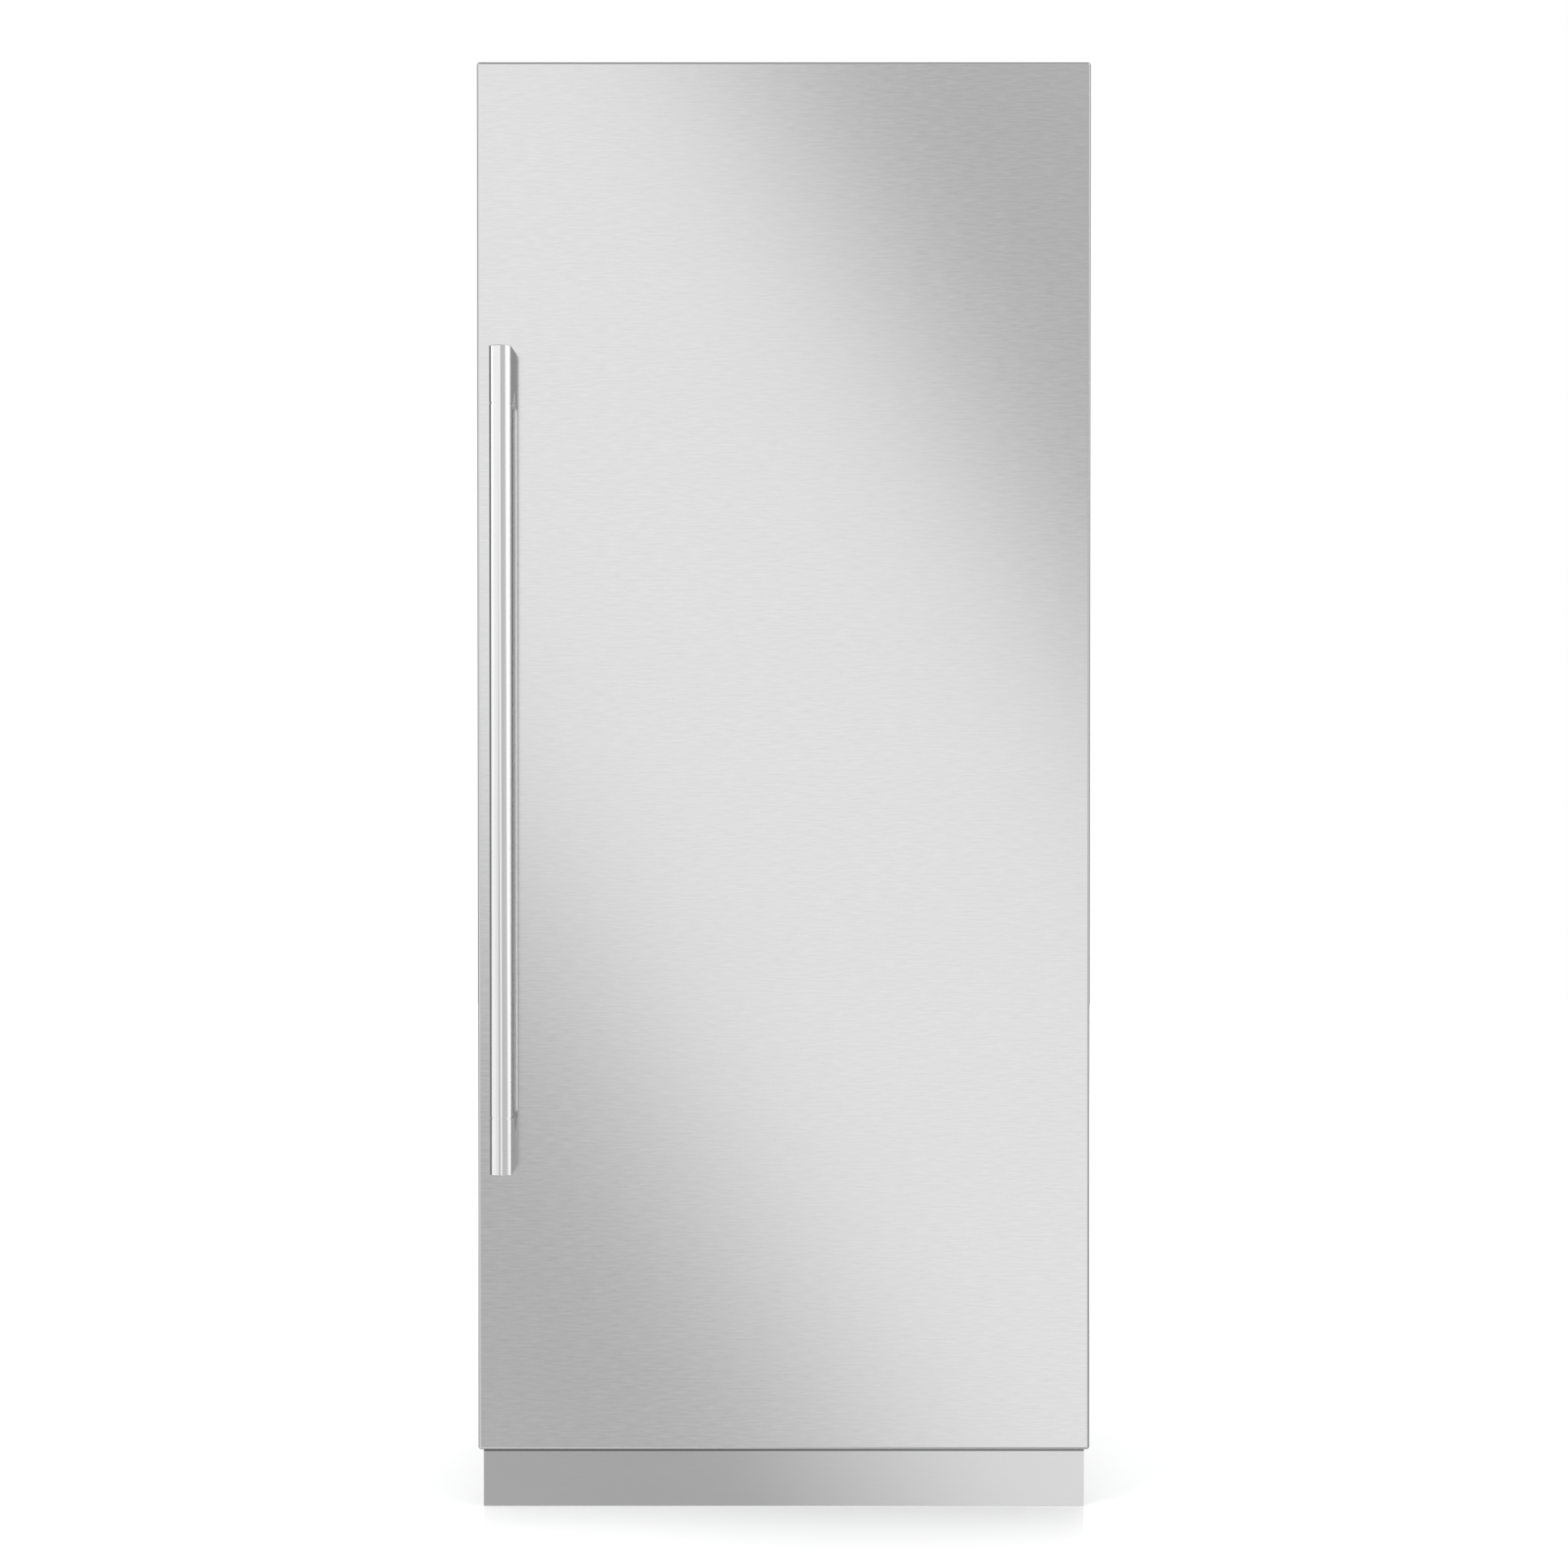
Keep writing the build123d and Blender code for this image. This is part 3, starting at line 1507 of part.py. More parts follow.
flange_end = room_half - crisper_rail_width - drawer_flange_gap
body_end = room_half - crisper_rail_width - crisper_ledge - drawer_play
inner_flange = divider_web / 2 + drawer_flange_gap
inner_body = divider_web / 2 + crisper_ledge + drawer_play
crisper_drawer_top = ledge_top + fit + drawer_flange
keep(
    drawer(
        inner_flange,
        flange_end,
        inner_body,
        body_end,
        crisper_drawer_top,
        crisper_height,
        crisper_depth,
    ),
    "crisper_drawer_right",
)
keep(
    drawer(
        -flange_end,
        -inner_flange,
        -body_end,
        -inner_body,
        crisper_drawer_top,
        crisper_height,
        crisper_depth,
    ),
    "crisper_drawer_left",
)
lower_body = room_half - lower_rail_width - drawer_play
keep(
    drawer(
        -flange_end,
        flange_end,
        -lower_body,
        lower_body,
        rail_top + fit + drawer_flange,
        lower_drawer_height,
        lower_drawer_depth,
    ),
    "lower_drawer",
)

# Light lenses: two upright strips on the side walls and one under the ceiling
light_y = case_front + light_setback
light_low = crisper_top + track_floor_gap
light_height = room_top - light_top_gap - light_low
with BuildPart() as light_lenses:
    for side in (-1, 1):
        with BuildSketch(sideways(side * (room_half - light_depth / 2))) as strip:
            with Locations((light_y + light_width / 2, light_low + light_height / 2)):
                RectangleRounded(light_width, light_height, light_round)
        extrude(amount=light_depth / 2, both=True)
    with BuildSketch(level(room_top - light_depth)) as lamp:
        with Locations((0, light_y + light_width / 2)):
            RectangleRounded(lamp_width, light_width, light_round)
    extrude(amount=light_depth)
keep(light_lenses, "light_lenses")

# Control panel: a wedge under the ceiling, its touch face tilted to the front
panel_y = case_front + panel_box_setback
with BuildPart() as control_panel:
    with BuildSketch(sideways(-panel_box_width / 2)) as wedge:
        with BuildLine():
            Polyline(
                (panel_y, room_top),
                (panel_y + panel_box_slope, room_top - panel_box_height),
                (panel_y + panel_box_depth, room_top - panel_box_height),
                (panel_y + panel_box_depth, room_top),
                close=True,
            )
        make_face()
    extrude(amount=panel_box_width)
keep(control_panel, "control_panel")

# Door bins: bowed trays with a hook at each end that drops over a lug of the liner
bin_half = field_half - lug_reach - bin_play
bin_y0 = core_back + bin_back_gap
bin_y1 = bin_y0 + bin_depth
for number, bottom in enumerate(bin_bottoms, start=1):
    lug_z = bottom + bin_height - bin_lug_drop
    bridge_z = lug_z + lug_height / 2 + fit
    with BuildPart() as door_bin:
        with BuildSketch(level(bottom)) as outline:
            with BuildLine():
                Polyline(
                    (bin_half, bin_y1),
                    (bin_half, bin_y0),
                    (-bin_half, bin_y0),
                    (-bin_half, bin_y1),
                )
                ThreePointArc((-bin_half, bin_y1), (0, bin_y1 + bin_bow), (bin_half, bin_y1))
            make_face()
            fillet(outline.vertices(), bin_round)
        extrude(amount=bin_height)
        fillet(door_bin.faces().sort_by(Axis.Z)[0].edges(), bin_wall)
        with BuildSketch(level(bottom + bin_wall)) as hollow:
            add(offset(outline.sketch, amount=-bin_wall, mode=Mode.PRIVATE))
        extrude(amount=bin_height, mode=Mode.SUBTRACT)
        with BuildSketch(sideways(-bin_half - overrun)) as slope:
            with BuildLine():
                Polyline(
                    (bin_y0 + bin_depth / 3, bottom + bin_height),
                    (bin_y1 - bin_round, bottom + bin_front_height),
                    (bin_y1 + bin_depth, bottom + bin_front_height),
                    (bin_y1 + bin_depth, bottom + bin_height + overrun),
                    (bin_y0 + bin_depth / 3, bottom + bin_height + overrun),
                    close=True,
                )
            make_face()
        extrude(amount=2 * (bin_half + overrun), mode=Mode.SUBTRACT)
        hook_half = lug_depth / 2 + hook_play
        for side in (-1, 1):
            near = side * (bin_half - bin_wall)
            far = side * (field_half - bin_play)
            left = min(near, far)
            right = max(near, far)
            for y0, y1 in (
                (lug_y - hook_half - hook_wall, lug_y - hook_half),
                (lug_y + hook_half, lug_y + hook_half + hook_wall),
            ):
                slab(left, right, y0, y1, lug_z - lug_height, bridge_z + hook_top)
            slab(
                left,
                right,
                lug_y - hook_half - hook_wall,
                lug_y + hook_half + hook_wall,
                bridge_z,
                bridge_z + hook_top,
            )
    keep(door_bin, f"door_bin_{number}")

# Dairy box and its lid, at the top of the door
dairy_half = field_half - dairy_play
dairy_y1 = bin_y0 + dairy_depth
dairy_top = dairy_bottom + dairy_height
pin_y = bin_y0 + lid_back
pin_z = dairy_top - lid_boss
with BuildPart() as dairy_box:
    slab(-dairy_half, dairy_half, bin_y0, dairy_y1, dairy_bottom, dairy_top)
    fillet(dairy_box.edges().filter_by(Axis.X).group_by(Axis.Z)[0].sort_by(Axis.Y)[-1], dairy_round)
    slab(
        dairy_wall - dairy_half,
        dairy_half - dairy_wall,
        bin_y0 + dairy_wall,
        dairy_y1 - dairy_wall,
        dairy_bottom + dairy_wall,
        dairy_top + overrun,
        mode=Mode.SUBTRACT,
    )
    slab(
        dairy_wall - dairy_half,
        dairy_half - dairy_wall,
        dairy_y1 - dairy_wall - overrun,
        dairy_y1 + overrun,
        dairy_bottom + dairy_height / 2,
        dairy_top + overrun,
        mode=Mode.SUBTRACT,
    )
    with BuildSketch(sideways(-dairy_half - overrun)) as pin_hole:
        with Locations((pin_y, pin_z)):
            Circle(lid_pin + bearing_fit)
    extrude(amount=2 * (dairy_half + overrun), mode=Mode.SUBTRACT)
keep(dairy_box, "dairy_box")

lid_half = dairy_half - dairy_wall - lid_gap
with BuildPart() as dairy_lid:
    with BuildSketch(sideways(-lid_half)) as profile:
        with BuildLine():
            Polyline(
                (pin_y - lid_boss, dairy_top),
                (dairy_y1 - dairy_round, dairy_top),
                (dairy_y1, dairy_top - dairy_round),
                (dairy_y1, dairy_bottom + dairy_height / 2 + lid_gap),
                (dairy_y1 - lid_wall, dairy_bottom + dairy_height / 2 + lid_gap),
                (dairy_y1 - lid_wall, dairy_top - dairy_round - lid_wall / 2),
                (dairy_y1 - dairy_round - lid_wall / 2, dairy_top - lid_wall),
                (pin_y - lid_boss, dairy_top - lid_wall),
                close=True,
            )
        make_face()
    extrude(amount=2 * lid_half)
    for side in (-1, 1):
        near = side * (lid_half - lid_tab)
        far = side * lid_half
        with BuildSketch(sideways(min(near, far))) as boss:
            with Locations((pin_y, pin_z)):
                Circle(lid_boss)
        extrude(amount=lid_tab)
        near = side * (lid_half - lid_tab)
        far = side * (dairy_half - lid_gap)
        with BuildSketch(sideways(min(near, far))) as pin:
            with Locations((pin_y, pin_z)):
                Circle(lid_pin)
        extrude(amount=abs(far - near))
keep(dairy_lid, "dairy_lid")

# Machine cover with louvre slots, and the power inlet let into it
inlet_x = half_width - inlet_inset
inlet_z = machine_top - inlet_drop
cover_mid = (machine_floor + machine_top) / 2
with BuildPart() as machine_cover:
    slab(sheet - half_width, half_width - sheet, skin_back, case_back, frame_bottom, machine_top - sheet)
    with BuildSketch(upright(case_back + overrun)) as slots:
        with Locations((0, cover_mid)):
            with GridLocations(
                cover_slot_gap, cover_slot_pitch, cover_slot_columns, cover_slot_rows
            ):
                SlotOverall(cover_slot_width, cover_slot_height)
        with Locations((inlet_x, inlet_z)):
            Rectangle(inlet_width + 2 * fit, inlet_height + 2 * fit)
    extrude(amount=2 * overrun, mode=Mode.SUBTRACT)
keep(machine_cover, "machine_cover")

with BuildPart() as power_inlet:
    with BuildSketch(upright(case_back + inlet_flange_sheet)) as flange:
        with Locations((inlet_x, inlet_z)):
            RectangleRounded(
                inlet_width + 2 * inlet_flange, inlet_height + 2 * inlet_flange, inlet_flange / 2
            )
    extrude(amount=inlet_flange_sheet)
    with BuildSketch(upright(case_back)) as body:
        with Locations((inlet_x, inlet_z)):
            Rectangle(inlet_width, inlet_height)
    extrude(amount=inlet_depth)
    with BuildSketch(upright(case_back + inlet_flange_sheet)) as socket:
        with Locations((inlet_x, inlet_z)):
            Rectangle(inlet_width - 2 * inlet_wall, inlet_height - 2 * inlet_wall)
    extrude(amount=inlet_depth - inlet_wall, mode=Mode.SUBTRACT)
    with BuildSketch(upright(case_back)) as blades:
        with Locations((inlet_x, inlet_z)):
            with GridLocations(inlet_blade_pitch, 0, 3, 1):
                Rectangle(inlet_blade_width, inlet_blade_height)
    extrude(amount=inlet_depth - inlet_wall)
keep(power_inlet, "power_inlet")

# Anti-tip brackets: a foot screwed to the top panel, a flange screwed to the wall
with BuildPart() as anti_tip_brackets:
    for side in (-1, 1):
        place = side * (half_width - tip_inset)
        slab(
            place - tip_width / 2,
            place + tip_width / 2,
            back_y - tip_foot,
            back_y,
            case_top,
            case_top + tip_sheet,
        )
        slab(
            place - tip_width / 2,
            place + tip_width / 2,
            back_y - tip_sheet,
            back_y,
            case_top,
            case_top + tip_rise,
        )
    with BuildSketch(upright(back_y + overrun)) as wall_holes:
        for side in (-1, 1):
            with Locations((side * (half_width - tip_inset), case_top + tip_sheet + (tip_rise - tip_sheet) / 2)):
                with GridLocations(tip_hole_pitch, 0, 2, 1):
                    Circle(tip_hole_radius)
    extrude(amount=2 * overrun, mode=Mode.SUBTRACT)
keep(anti_tip_brackets, "anti_tip_brackets")
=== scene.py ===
import math

import bpy
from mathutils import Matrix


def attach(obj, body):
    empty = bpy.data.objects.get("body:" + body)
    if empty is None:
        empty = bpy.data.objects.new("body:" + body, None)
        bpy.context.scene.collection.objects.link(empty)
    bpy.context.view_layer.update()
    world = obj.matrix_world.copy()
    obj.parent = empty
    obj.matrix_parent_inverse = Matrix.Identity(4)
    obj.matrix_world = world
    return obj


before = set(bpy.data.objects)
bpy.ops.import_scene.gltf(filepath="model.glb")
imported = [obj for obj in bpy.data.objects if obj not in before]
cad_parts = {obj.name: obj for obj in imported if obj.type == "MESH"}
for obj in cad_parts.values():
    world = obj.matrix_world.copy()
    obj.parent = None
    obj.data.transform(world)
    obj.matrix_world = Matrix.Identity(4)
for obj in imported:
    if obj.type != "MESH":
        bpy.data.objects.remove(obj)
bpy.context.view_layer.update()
bpy.ops.object.select_all(action="DESELECT")


# Door panel: a tray of 1.5 mm stainless sheet with its edges folded back, hung on the door.
# Brushed level with a belt, which leaves short dashes of grain along X, then left bare. The
# belt doesn't reach round the folds, which keep the duller skin of the mill; their darker
# colour is painted shade, for the dark line where the bends turn away from the light.
class Flow:
    """A value on its way through a finish's nodes; sums on it become Math nodes."""

    def __init__(self, finish, socket):
        self.finish = finish
        self.socket = socket

    def __add__(self, other):
        return self.finish.reckon("ADD", self, other)

    def __sub__(self, other):
        return self.finish.reckon("SUBTRACT", self, other)

    def __mul__(self, other):
        return self.finish.reckon("MULTIPLY", self, other)


class Finish:
    """A finish made of nodes: node() makes any node, coat() closes it as a surface."""

    def __init__(self, owner):
        self.owner = owner
        self.owner.use_nodes = True
        self.tree = self.owner.node_tree
        self.tree.nodes.clear()

    def node(self, kind, settings=None, sockets=None, out=0):
        made = self.tree.nodes.new("ShaderNode" + kind)
        for setting, value in (settings or {}).items():
            if setting == "stops":
                stops = made.color_ramp.elements
                stops[0].position, stops[0].color = value[0]
                stops[-1].position, stops[-1].color = value[-1]
                for where, shade in value[1:-1]:
                    stops.new(where).color = shade
            else:
                setattr(made, setting, value)
        for key, value in (sockets or {}).items():
            if isinstance(value, Flow):
                self.tree.links.new(value.socket, made.inputs[key])
            else:
                made.inputs[key].default_value = value
        return Flow(self, made.outputs[out]) if made.outputs else None

    def reckon(self, operation, *values):
        """A Math node on one or two values."""
        return self.node("Math", {"operation": operation}, dict(enumerate(values)))

    def place(self):
        """The place on a piece, in metres from the shared frame's origin when at rest."""
        return self.node("TexCoord", out="Object")

    def along(self, axis):
        """The place along one axis, 0 for X, 1 for Y and 2 for Z."""
        return self.node("SeparateXYZ", None, {"Vector": self.place()}, axis)

    def rise(self, value, start, full):
        """A share that is 0 where a value is at its start and 1 from where it is full."""
        limits = {"Value": value, "From Min": start, "From Max": full}
        return self.node("MapRange", None, limits)

    def noise(self, scale, detail, rough, centre=(0, 0, 0)):
        """Noise from 0 to 1 whose scale, in cells per metre, may differ along X, Y and Z."""
        shift = {"Vector": self.place(), "Location": centre, "Scale": scale}
        where = self.node("Mapping", None, shift, "Vector")
        cells = {"Vector": where, "Scale": 1, "Detail": detail, "Roughness": rough}
        return self.node("TexNoise", None, cells)

    def between(self, share, dark, light):
        """A colour between two shades; either may come from other nodes."""
        dark, light = (
            shade if isinstance(shade, Flow) else (*shade, 1) for shade in (dark, light)
        )
        return self.node("Mix", {"data_type": "RGBA"}, {0: share, 6: dark, 7: light}, 2)

    def relief(self, height, distance, strength):
        """Surface relief; distance is the height in metres that a value of 1 stands for."""
        bump = {"Strength": strength, "Distance": distance, "Height": height}
        return self.node("Bump", None, bump, "Normal")

    def coat(self, **sockets):
        """Closes the finish with a Principled surface; underscores stand for spaces."""
        named = {key.replace("_", " "): value for key, value in sockets.items()}
        shine = self.node("BsdfPrincipled", None, named)
        self.node("OutputMaterial", None, {"Surface": shine})


def dress(finish, *names):
    """Puts a finish on CAD nodes."""
    for name in names:
        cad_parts[name].material_slots[0].material = finish.owner


panel_half_width = 0.454
panel_half_height = 1.028
panel_middle = 1.127
fold_start = 0.0037
fold_full = 0.002
steel = Finish(bpy.data.materials.new("brushed_stainless"))
dashes = steel.noise((42, 42, 340), 2.0, 0.55)
hairs = steel.noise((9, 9, 1500), 2.0, 0.6, (3.1, 0.4, 1.7))
drift = steel.noise((1.3, 1.3, 9), 2.0, 0.5, (0.3, 0, 0.9))
grain = dashes * 0.72 + hairs * 0.28
side_fold = steel.rise(
    steel.reckon("ABSOLUTE", steel.along(0)),
    panel_half_width - fold_start,
    panel_half_width - fold_full,
)
end_fold = steel.rise(
    steel.reckon("ABSOLUTE", steel.along(2) - panel_middle),
    panel_half_height - fold_start,
    panel_half_height - fold_full,
)
# Folds: higher roughness for the duller mill skin, and a darker colour that is painted shade.
fold_dull_and_shaded = steel.reckon("MAXIMUM", side_fold, end_fold)
brushed = steel.between(grain, (0.67, 0.673, 0.675), (0.85, 0.85, 0.847))
steel.coat(
    Base_Color=steel.between(fold_dull_and_shaded, brushed, (0.58, 0.58, 0.582)),
    Metallic=1.0,
    Roughness=grain * 0.07 + drift * 0.02 + fold_dull_and_shaded * 0.08 + 0.09,
    Anisotropic=0.55,
    Anisotropic_Rotation=0.25,
    Normal=steel.relief(grain, 0.00002, 0.55),
)
dress(steel, "door_panel")


# Handle: a crowned bar drawn from solid stainless, with a block on each end that is bolted
# through the panel. The crown is polished along its length; the flanks keep a dull satin,
# and their colour is painted much darker, a painted shade on the sides of the bar.
handle_x = -0.414
flank_start = 0.015
flank_full = 0.0157
bar_steel = Finish(bpy.data.materials.new("polished_bar"))
draw_lines = bar_steel.noise((900, 900, 12), 2.0, 0.5)
handling = bar_steel.noise((14, 14, 5), 3.0, 0.55)
off_middle = bar_steel.reckon("ABSOLUTE", bar_steel.along(0) - handle_x)
# Flank mask: a rougher satin, and painted shade that darkens the colour of the sides.
flank_dull_and_shaded = bar_steel.rise(off_middle, flank_start, flank_full)
crown_shade = bar_steel.between(draw_lines, (0.82, 0.822, 0.825), (0.89, 0.89, 0.888))
bar_steel.coat(
    Base_Color=bar_steel.between(flank_dull_and_shaded, crown_shade, (0.42, 0.42, 0.425)),
    Metallic=1.0,
    Roughness=draw_lines * 0.04 + handling * 0.04 + flank_dull_and_shaded * 0.2 + 0.08,
    Normal=bar_steel.relief(draw_lines, 0.000004, 0.5),
)
dress(bar_steel, "handle_bar", "handle_blocks")


# Toe kick: a plain stainless strip with a folded top, screwed to tabs on the base.
# It has a satin finish with hardly any grain, and is a shade darker than the door. Its top
# edge is painted near black, a painted shadow for the shade in the gap under the door, so
# that the gap reads as one dark line.
gap_shadow_start = 0.0828
gap_shadow_full = 0.0838
kick_steel = Finish(bpy.data.materials.new("satin_toe_kick"))
fine = kick_steel.noise((40, 40, 900), 2.0, 0.5)
cloud = kick_steel.noise((5, 5, 14), 2.0, 0.5)
# Painted shadow: the top edge, where the door's shadow falls in the gap, goes near black.
edge = kick_steel.rise(kick_steel.along(2), gap_shadow_start, gap_shadow_full)
satin = kick_steel.between(fine * 0.7 + cloud * 0.3, (0.665, 0.667, 0.67), (0.715, 0.715, 0.713))
kick_steel.coat(
    Base_Color=kick_steel.between(edge, satin, (0.22, 0.22, 0.222)),
    Metallic=1.0,
    Roughness=cloud * 0.03 + 0.08,
    Anisotropic=0.3,
    Anisotropic_Rotation=0.25,
    Normal=kick_steel.relief(fine, 0.00001, 0.4),
)
dress(kick_steel, "toe_kick")


# Case skins, front frame, door pan and hinge brackets: folded steel sheet, powder coated
# in grey. The powder flows out with a slight orange peel and dulls a little in handling.
grey_coat = Finish(bpy.data.materials.new("grey_powder_coat"))
peel = grey_coat.noise((420, 420, 420), 2.0, 0.5)
dulling = grey_coat.noise((3, 3, 3), 4.0, 0.6)
powder_tone = dulling * 0.8 + peel * 0.2
grey_coat.coat(
    Base_Color=grey_coat.between(powder_tone, (0.335, 0.342, 0.35), (0.405, 0.41, 0.418)),
    Roughness=dulling * 0.12 + peel * 0.06 + 0.34,
    Metallic=0.25,
    Normal=grey_coat.relief(peel, 0.00006, 0.6),
)
dress(
    grey_coat,
    "side_panel_left",
    "side_panel_right",
    "top_panel",
    "front_frame",
    "door_pan",
    "top_hinge_bracket",
    "bottom_hinge_bracket",
)


# Back panel, floor panel, base, machine cover and wall brackets: galvanised sheet, left
# bare. The zinc froze in spangles about 12 mm across, each with its own grey and gloss.
spangles_per_metre = 85.0
zinc_sheet = Finish(bpy.data.materials.new("galvanised_sheet"))
where = zinc_sheet.place()
ripple = {"Vector": where, "Scale": 60.0, "Detail": 2.0}
wander = zinc_sheet.node("TexNoise", None, ripple, "Color")
bent = zinc_sheet.between(0.012, where, wander)
crystals = {"Vector": bent, "Scale": spangles_per_metre}
spangle = zinc_sheet.node("TexVoronoi", None, crystals, "Color")
cell = zinc_sheet.node("SeparateColor", None, {"Color": spangle}, 0)
stain = zinc_sheet.noise((4, 4, 4), 4.0, 0.6)
zinc_tone = cell * 0.75 + stain * 0.25
zinc_sheet.coat(
    Base_Color=zinc_sheet.between(zinc_tone, (0.47, 0.485, 0.5), (0.68, 0.69, 0.695)),
    Metallic=1.0,
    Roughness=cell * 0.16 + stain * 0.08 + 0.32,
    Normal=zinc_sheet.relief(cell, 0.00001, 0.5),
)
dress(zinc_sheet, "back_panel", "floor_panel", "base_frame", "machine_cover", "anti_tip_brackets")


# Inner liner, door liner, shelf frames, crisper frame, duct cover and dairy box: white
# plastic, drawn or moulded, with a fine spark-eroded texture that keeps it from glaring.
white_plastic = Finish(bpy.data.materials.new("white_liner_plastic"))
texture = white_plastic.noise((1400, 1400, 1400), 1.0, 0.5)
draw = white_plastic.noise((2.2, 2.2, 2.2), 3.0, 0.5)
white_tone = draw * 0.7 + texture * 0.3
white_plastic.coat(
    Base_Color=white_plastic.between(white_tone, (0.77, 0.785, 0.795), (0.845, 0.852, 0.855)),
    Roughness=texture * 0.1 + draw * 0.06 + 0.28,
    Normal=white_plastic.relief(texture, 0.00004, 0.5),
)
dress(
    white_plastic,
    "inner_liner",
    "door_liner",
    "shelf_frame_1",
    "shelf_frame_2",
    "shelf_frame_3",
    "crisper_frame",
    "air_duct_cover",
    "dairy_box",
)


# Shelf tracks: two slotted steel strips screwed to the back of the liner.
# Epoxy painted white; the paint is a little greyer where it ran thin along the strips.
track_paint = Finish(bpy.data.materials.new("white_epoxy_paint"))
speck = track_paint.noise((700, 700, 700), 2.0, 0.5)
run = track_paint.noise((20, 20, 3), 3.0, 0.5)
paint_tone = run * 0.7 + speck * 0.3
track_paint.coat(
    Base_Color=track_paint.between(paint_tone, (0.74, 0.75, 0.76), (0.83, 0.835, 0.84)),
    Roughness=speck * 0.1 + 0.24,
    Normal=track_paint.relief(speck, 0.00003, 0.5),
)
dress(track_paint, "shelf_tracks")


# Door gasket: a soft magnetic profile pushed into the groove round the door liner.
# Extruded in light grey rubber, matt, with the faint lines of the die along it.
gasket_rubber = Finish(bpy.data.materials.new("gasket_rubber"))
die_lines = gasket_rubber.noise((300, 900, 300), 2.0, 0.6)
bloom = gasket_rubber.noise((18, 18, 18), 3.0, 0.6)
rubber_tone = bloom * 0.6 + die_lines * 0.4
gasket_rubber.coat(
    Base_Color=gasket_rubber.between(rubber_tone, (0.5, 0.51, 0.52), (0.6, 0.605, 0.61)),
    Roughness=bloom * 0.14 + 0.5,
    Normal=gasket_rubber.relief(die_lines, 0.00005, 0.5),
)
dress(gasket_rubber, "door_gasket")


# Foam, in the case and the door: poured in place, so it fills the space between skins.
# Cream coloured, with closed cells under a millimetre across.
foam_cells_per_metre = 1400.0
foam = Finish(bpy.data.materials.new("cream_foam"))
bubbles = {"Vector": foam.place(), "Scale": foam_cells_per_metre}
pores = foam.node("TexVoronoi", None, bubbles, "Distance")
rising = foam.noise((30, 30, 30), 3.0, 0.6)
foam.coat(
    Base_Color=foam.between(pores * 0.5 + rising * 0.5, (0.62, 0.55, 0.36), (0.82, 0.76, 0.56)),
    Roughness=pores * 0.1 + 0.8,
    Normal=foam.relief(pores, 0.0003, 0.8),
)
dress(foam, "cabinet_insulation", "door_insulation")


# Core board behind the panel: pressed wood fibre, which takes the handle's studs.
# It is matt, with flakes and fibres of paler and darker wood.
board = Finish(bpy.data.materials.new("pressed_fibre_board"))
fibres = board.noise((160, 160, 700), 4.0, 0.65)
flakes = board.noise((60, 60, 60), 3.0, 0.6)
board.coat(
    Base_Color=board.between(fibres * 0.6 + flakes * 0.4, (0.28, 0.19, 0.11), (0.5, 0.37, 0.23)),
    Roughness=fibres * 0.15 + 0.7,
    Normal=board.relief(fibres, 0.00012, 0.7),
)
dress(board, "door_core_board")


# Shelf and crisper glass: 4 and 5 mm toughened float glass, let into the moulded frames.
# Clear across its faces; its ground edges show the green of the iron in it.
front_rim_start, front_rim_full = -0.0538, -0.0546
side_rim_start, side_rim_full = 0.3688, 0.3696
glass = Finish(bpy.data.materials.new("toughened_glass"))
front_rim = glass.rise(glass.along(1), front_rim_start, front_rim_full)
side_rim = glass.rise(glass.reckon("ABSOLUTE", glass.along(0)), side_rim_start, side_rim_full)
rim = glass.reckon("MAXIMUM", front_rim, side_rim)
smear = glass.noise((7, 7, 7), 3.0, 0.6)
sheen = glass.node("Fresnel", None, {"IOR": 1.5})
glass.coat(
    Base_Color=glass.between(rim, (0.78, 0.88, 0.85), (0.22, 0.45, 0.37)),
    Roughness=smear * 0.03 + rim * 0.2 + 0.03,
    Alpha=sheen * 0.8 + rim * 0.7 + 0.13,
    Specular_IOR_Level=0.8,
)
dress(glass, "shelf_glass_1", "shelf_glass_2", "shelf_glass_3", "crisper_cover")


# Drawers, door bins and the dairy lid: clear styrene, moulded in one piece each.
# It is tinted slightly grey, and denser to the eye where a wall is seen edge on.
clear_plastic = Finish(bpy.data.materials.new("clear_moulded_plastic"))
sheen = clear_plastic.node("Fresnel", None, {"IOR": 1.58})
swirl = clear_plastic.noise((9, 9, 9), 3.0, 0.6)
scuff = clear_plastic.noise((260, 30, 260), 3.0, 0.7)
clear_plastic.coat(
    Base_Color=clear_plastic.between(swirl, (0.7, 0.76, 0.79), (0.83, 0.87, 0.89)),
    Roughness=scuff * 0.1 + swirl * 0.04 + 0.04,
    Alpha=sheen * 1.1 + swirl * 0.05 + 0.13,
    Specular_IOR_Level=0.7,
    Normal=clear_plastic.relief(swirl, 0.0004, 0.3),
)
dress(
    clear_plastic,
    "crisper_drawer_left",
    "crisper_drawer_right",
    "lower_drawer",
    "door_bin_1",
    "door_bin_2",
    "door_bin_3",
    "dairy_lid",
)


# Fan and its frame behind the duct cover, humidity sliders, hinge cover: grey nylon and
# styrene mouldings, satin, with a slight flow pattern from the gates.
grey_plastic = Finish(bpy.data.materials.new("grey_moulded_plastic"))
matt = grey_plastic.noise((1100, 1100, 1100), 1.0, 0.5)
gate = grey_plastic.noise((25, 25, 25), 3.0, 0.6)
grey_tone = gate * 0.6 + matt * 0.4
grey_plastic.coat(
    Base_Color=grey_plastic.between(grey_tone, (0.3, 0.31, 0.32), (0.38, 0.388, 0.395)),
    Roughness=matt * 0.12 + 0.38,
    Normal=grey_plastic.relief(matt, 0.00004, 0.5),
)
dress(
    grey_plastic,
    "evaporator_fan",
    "evaporator_fan_frame",
    "hinge_cover",
    "humidity_slider_left",
    "humidity_slider_right",
)


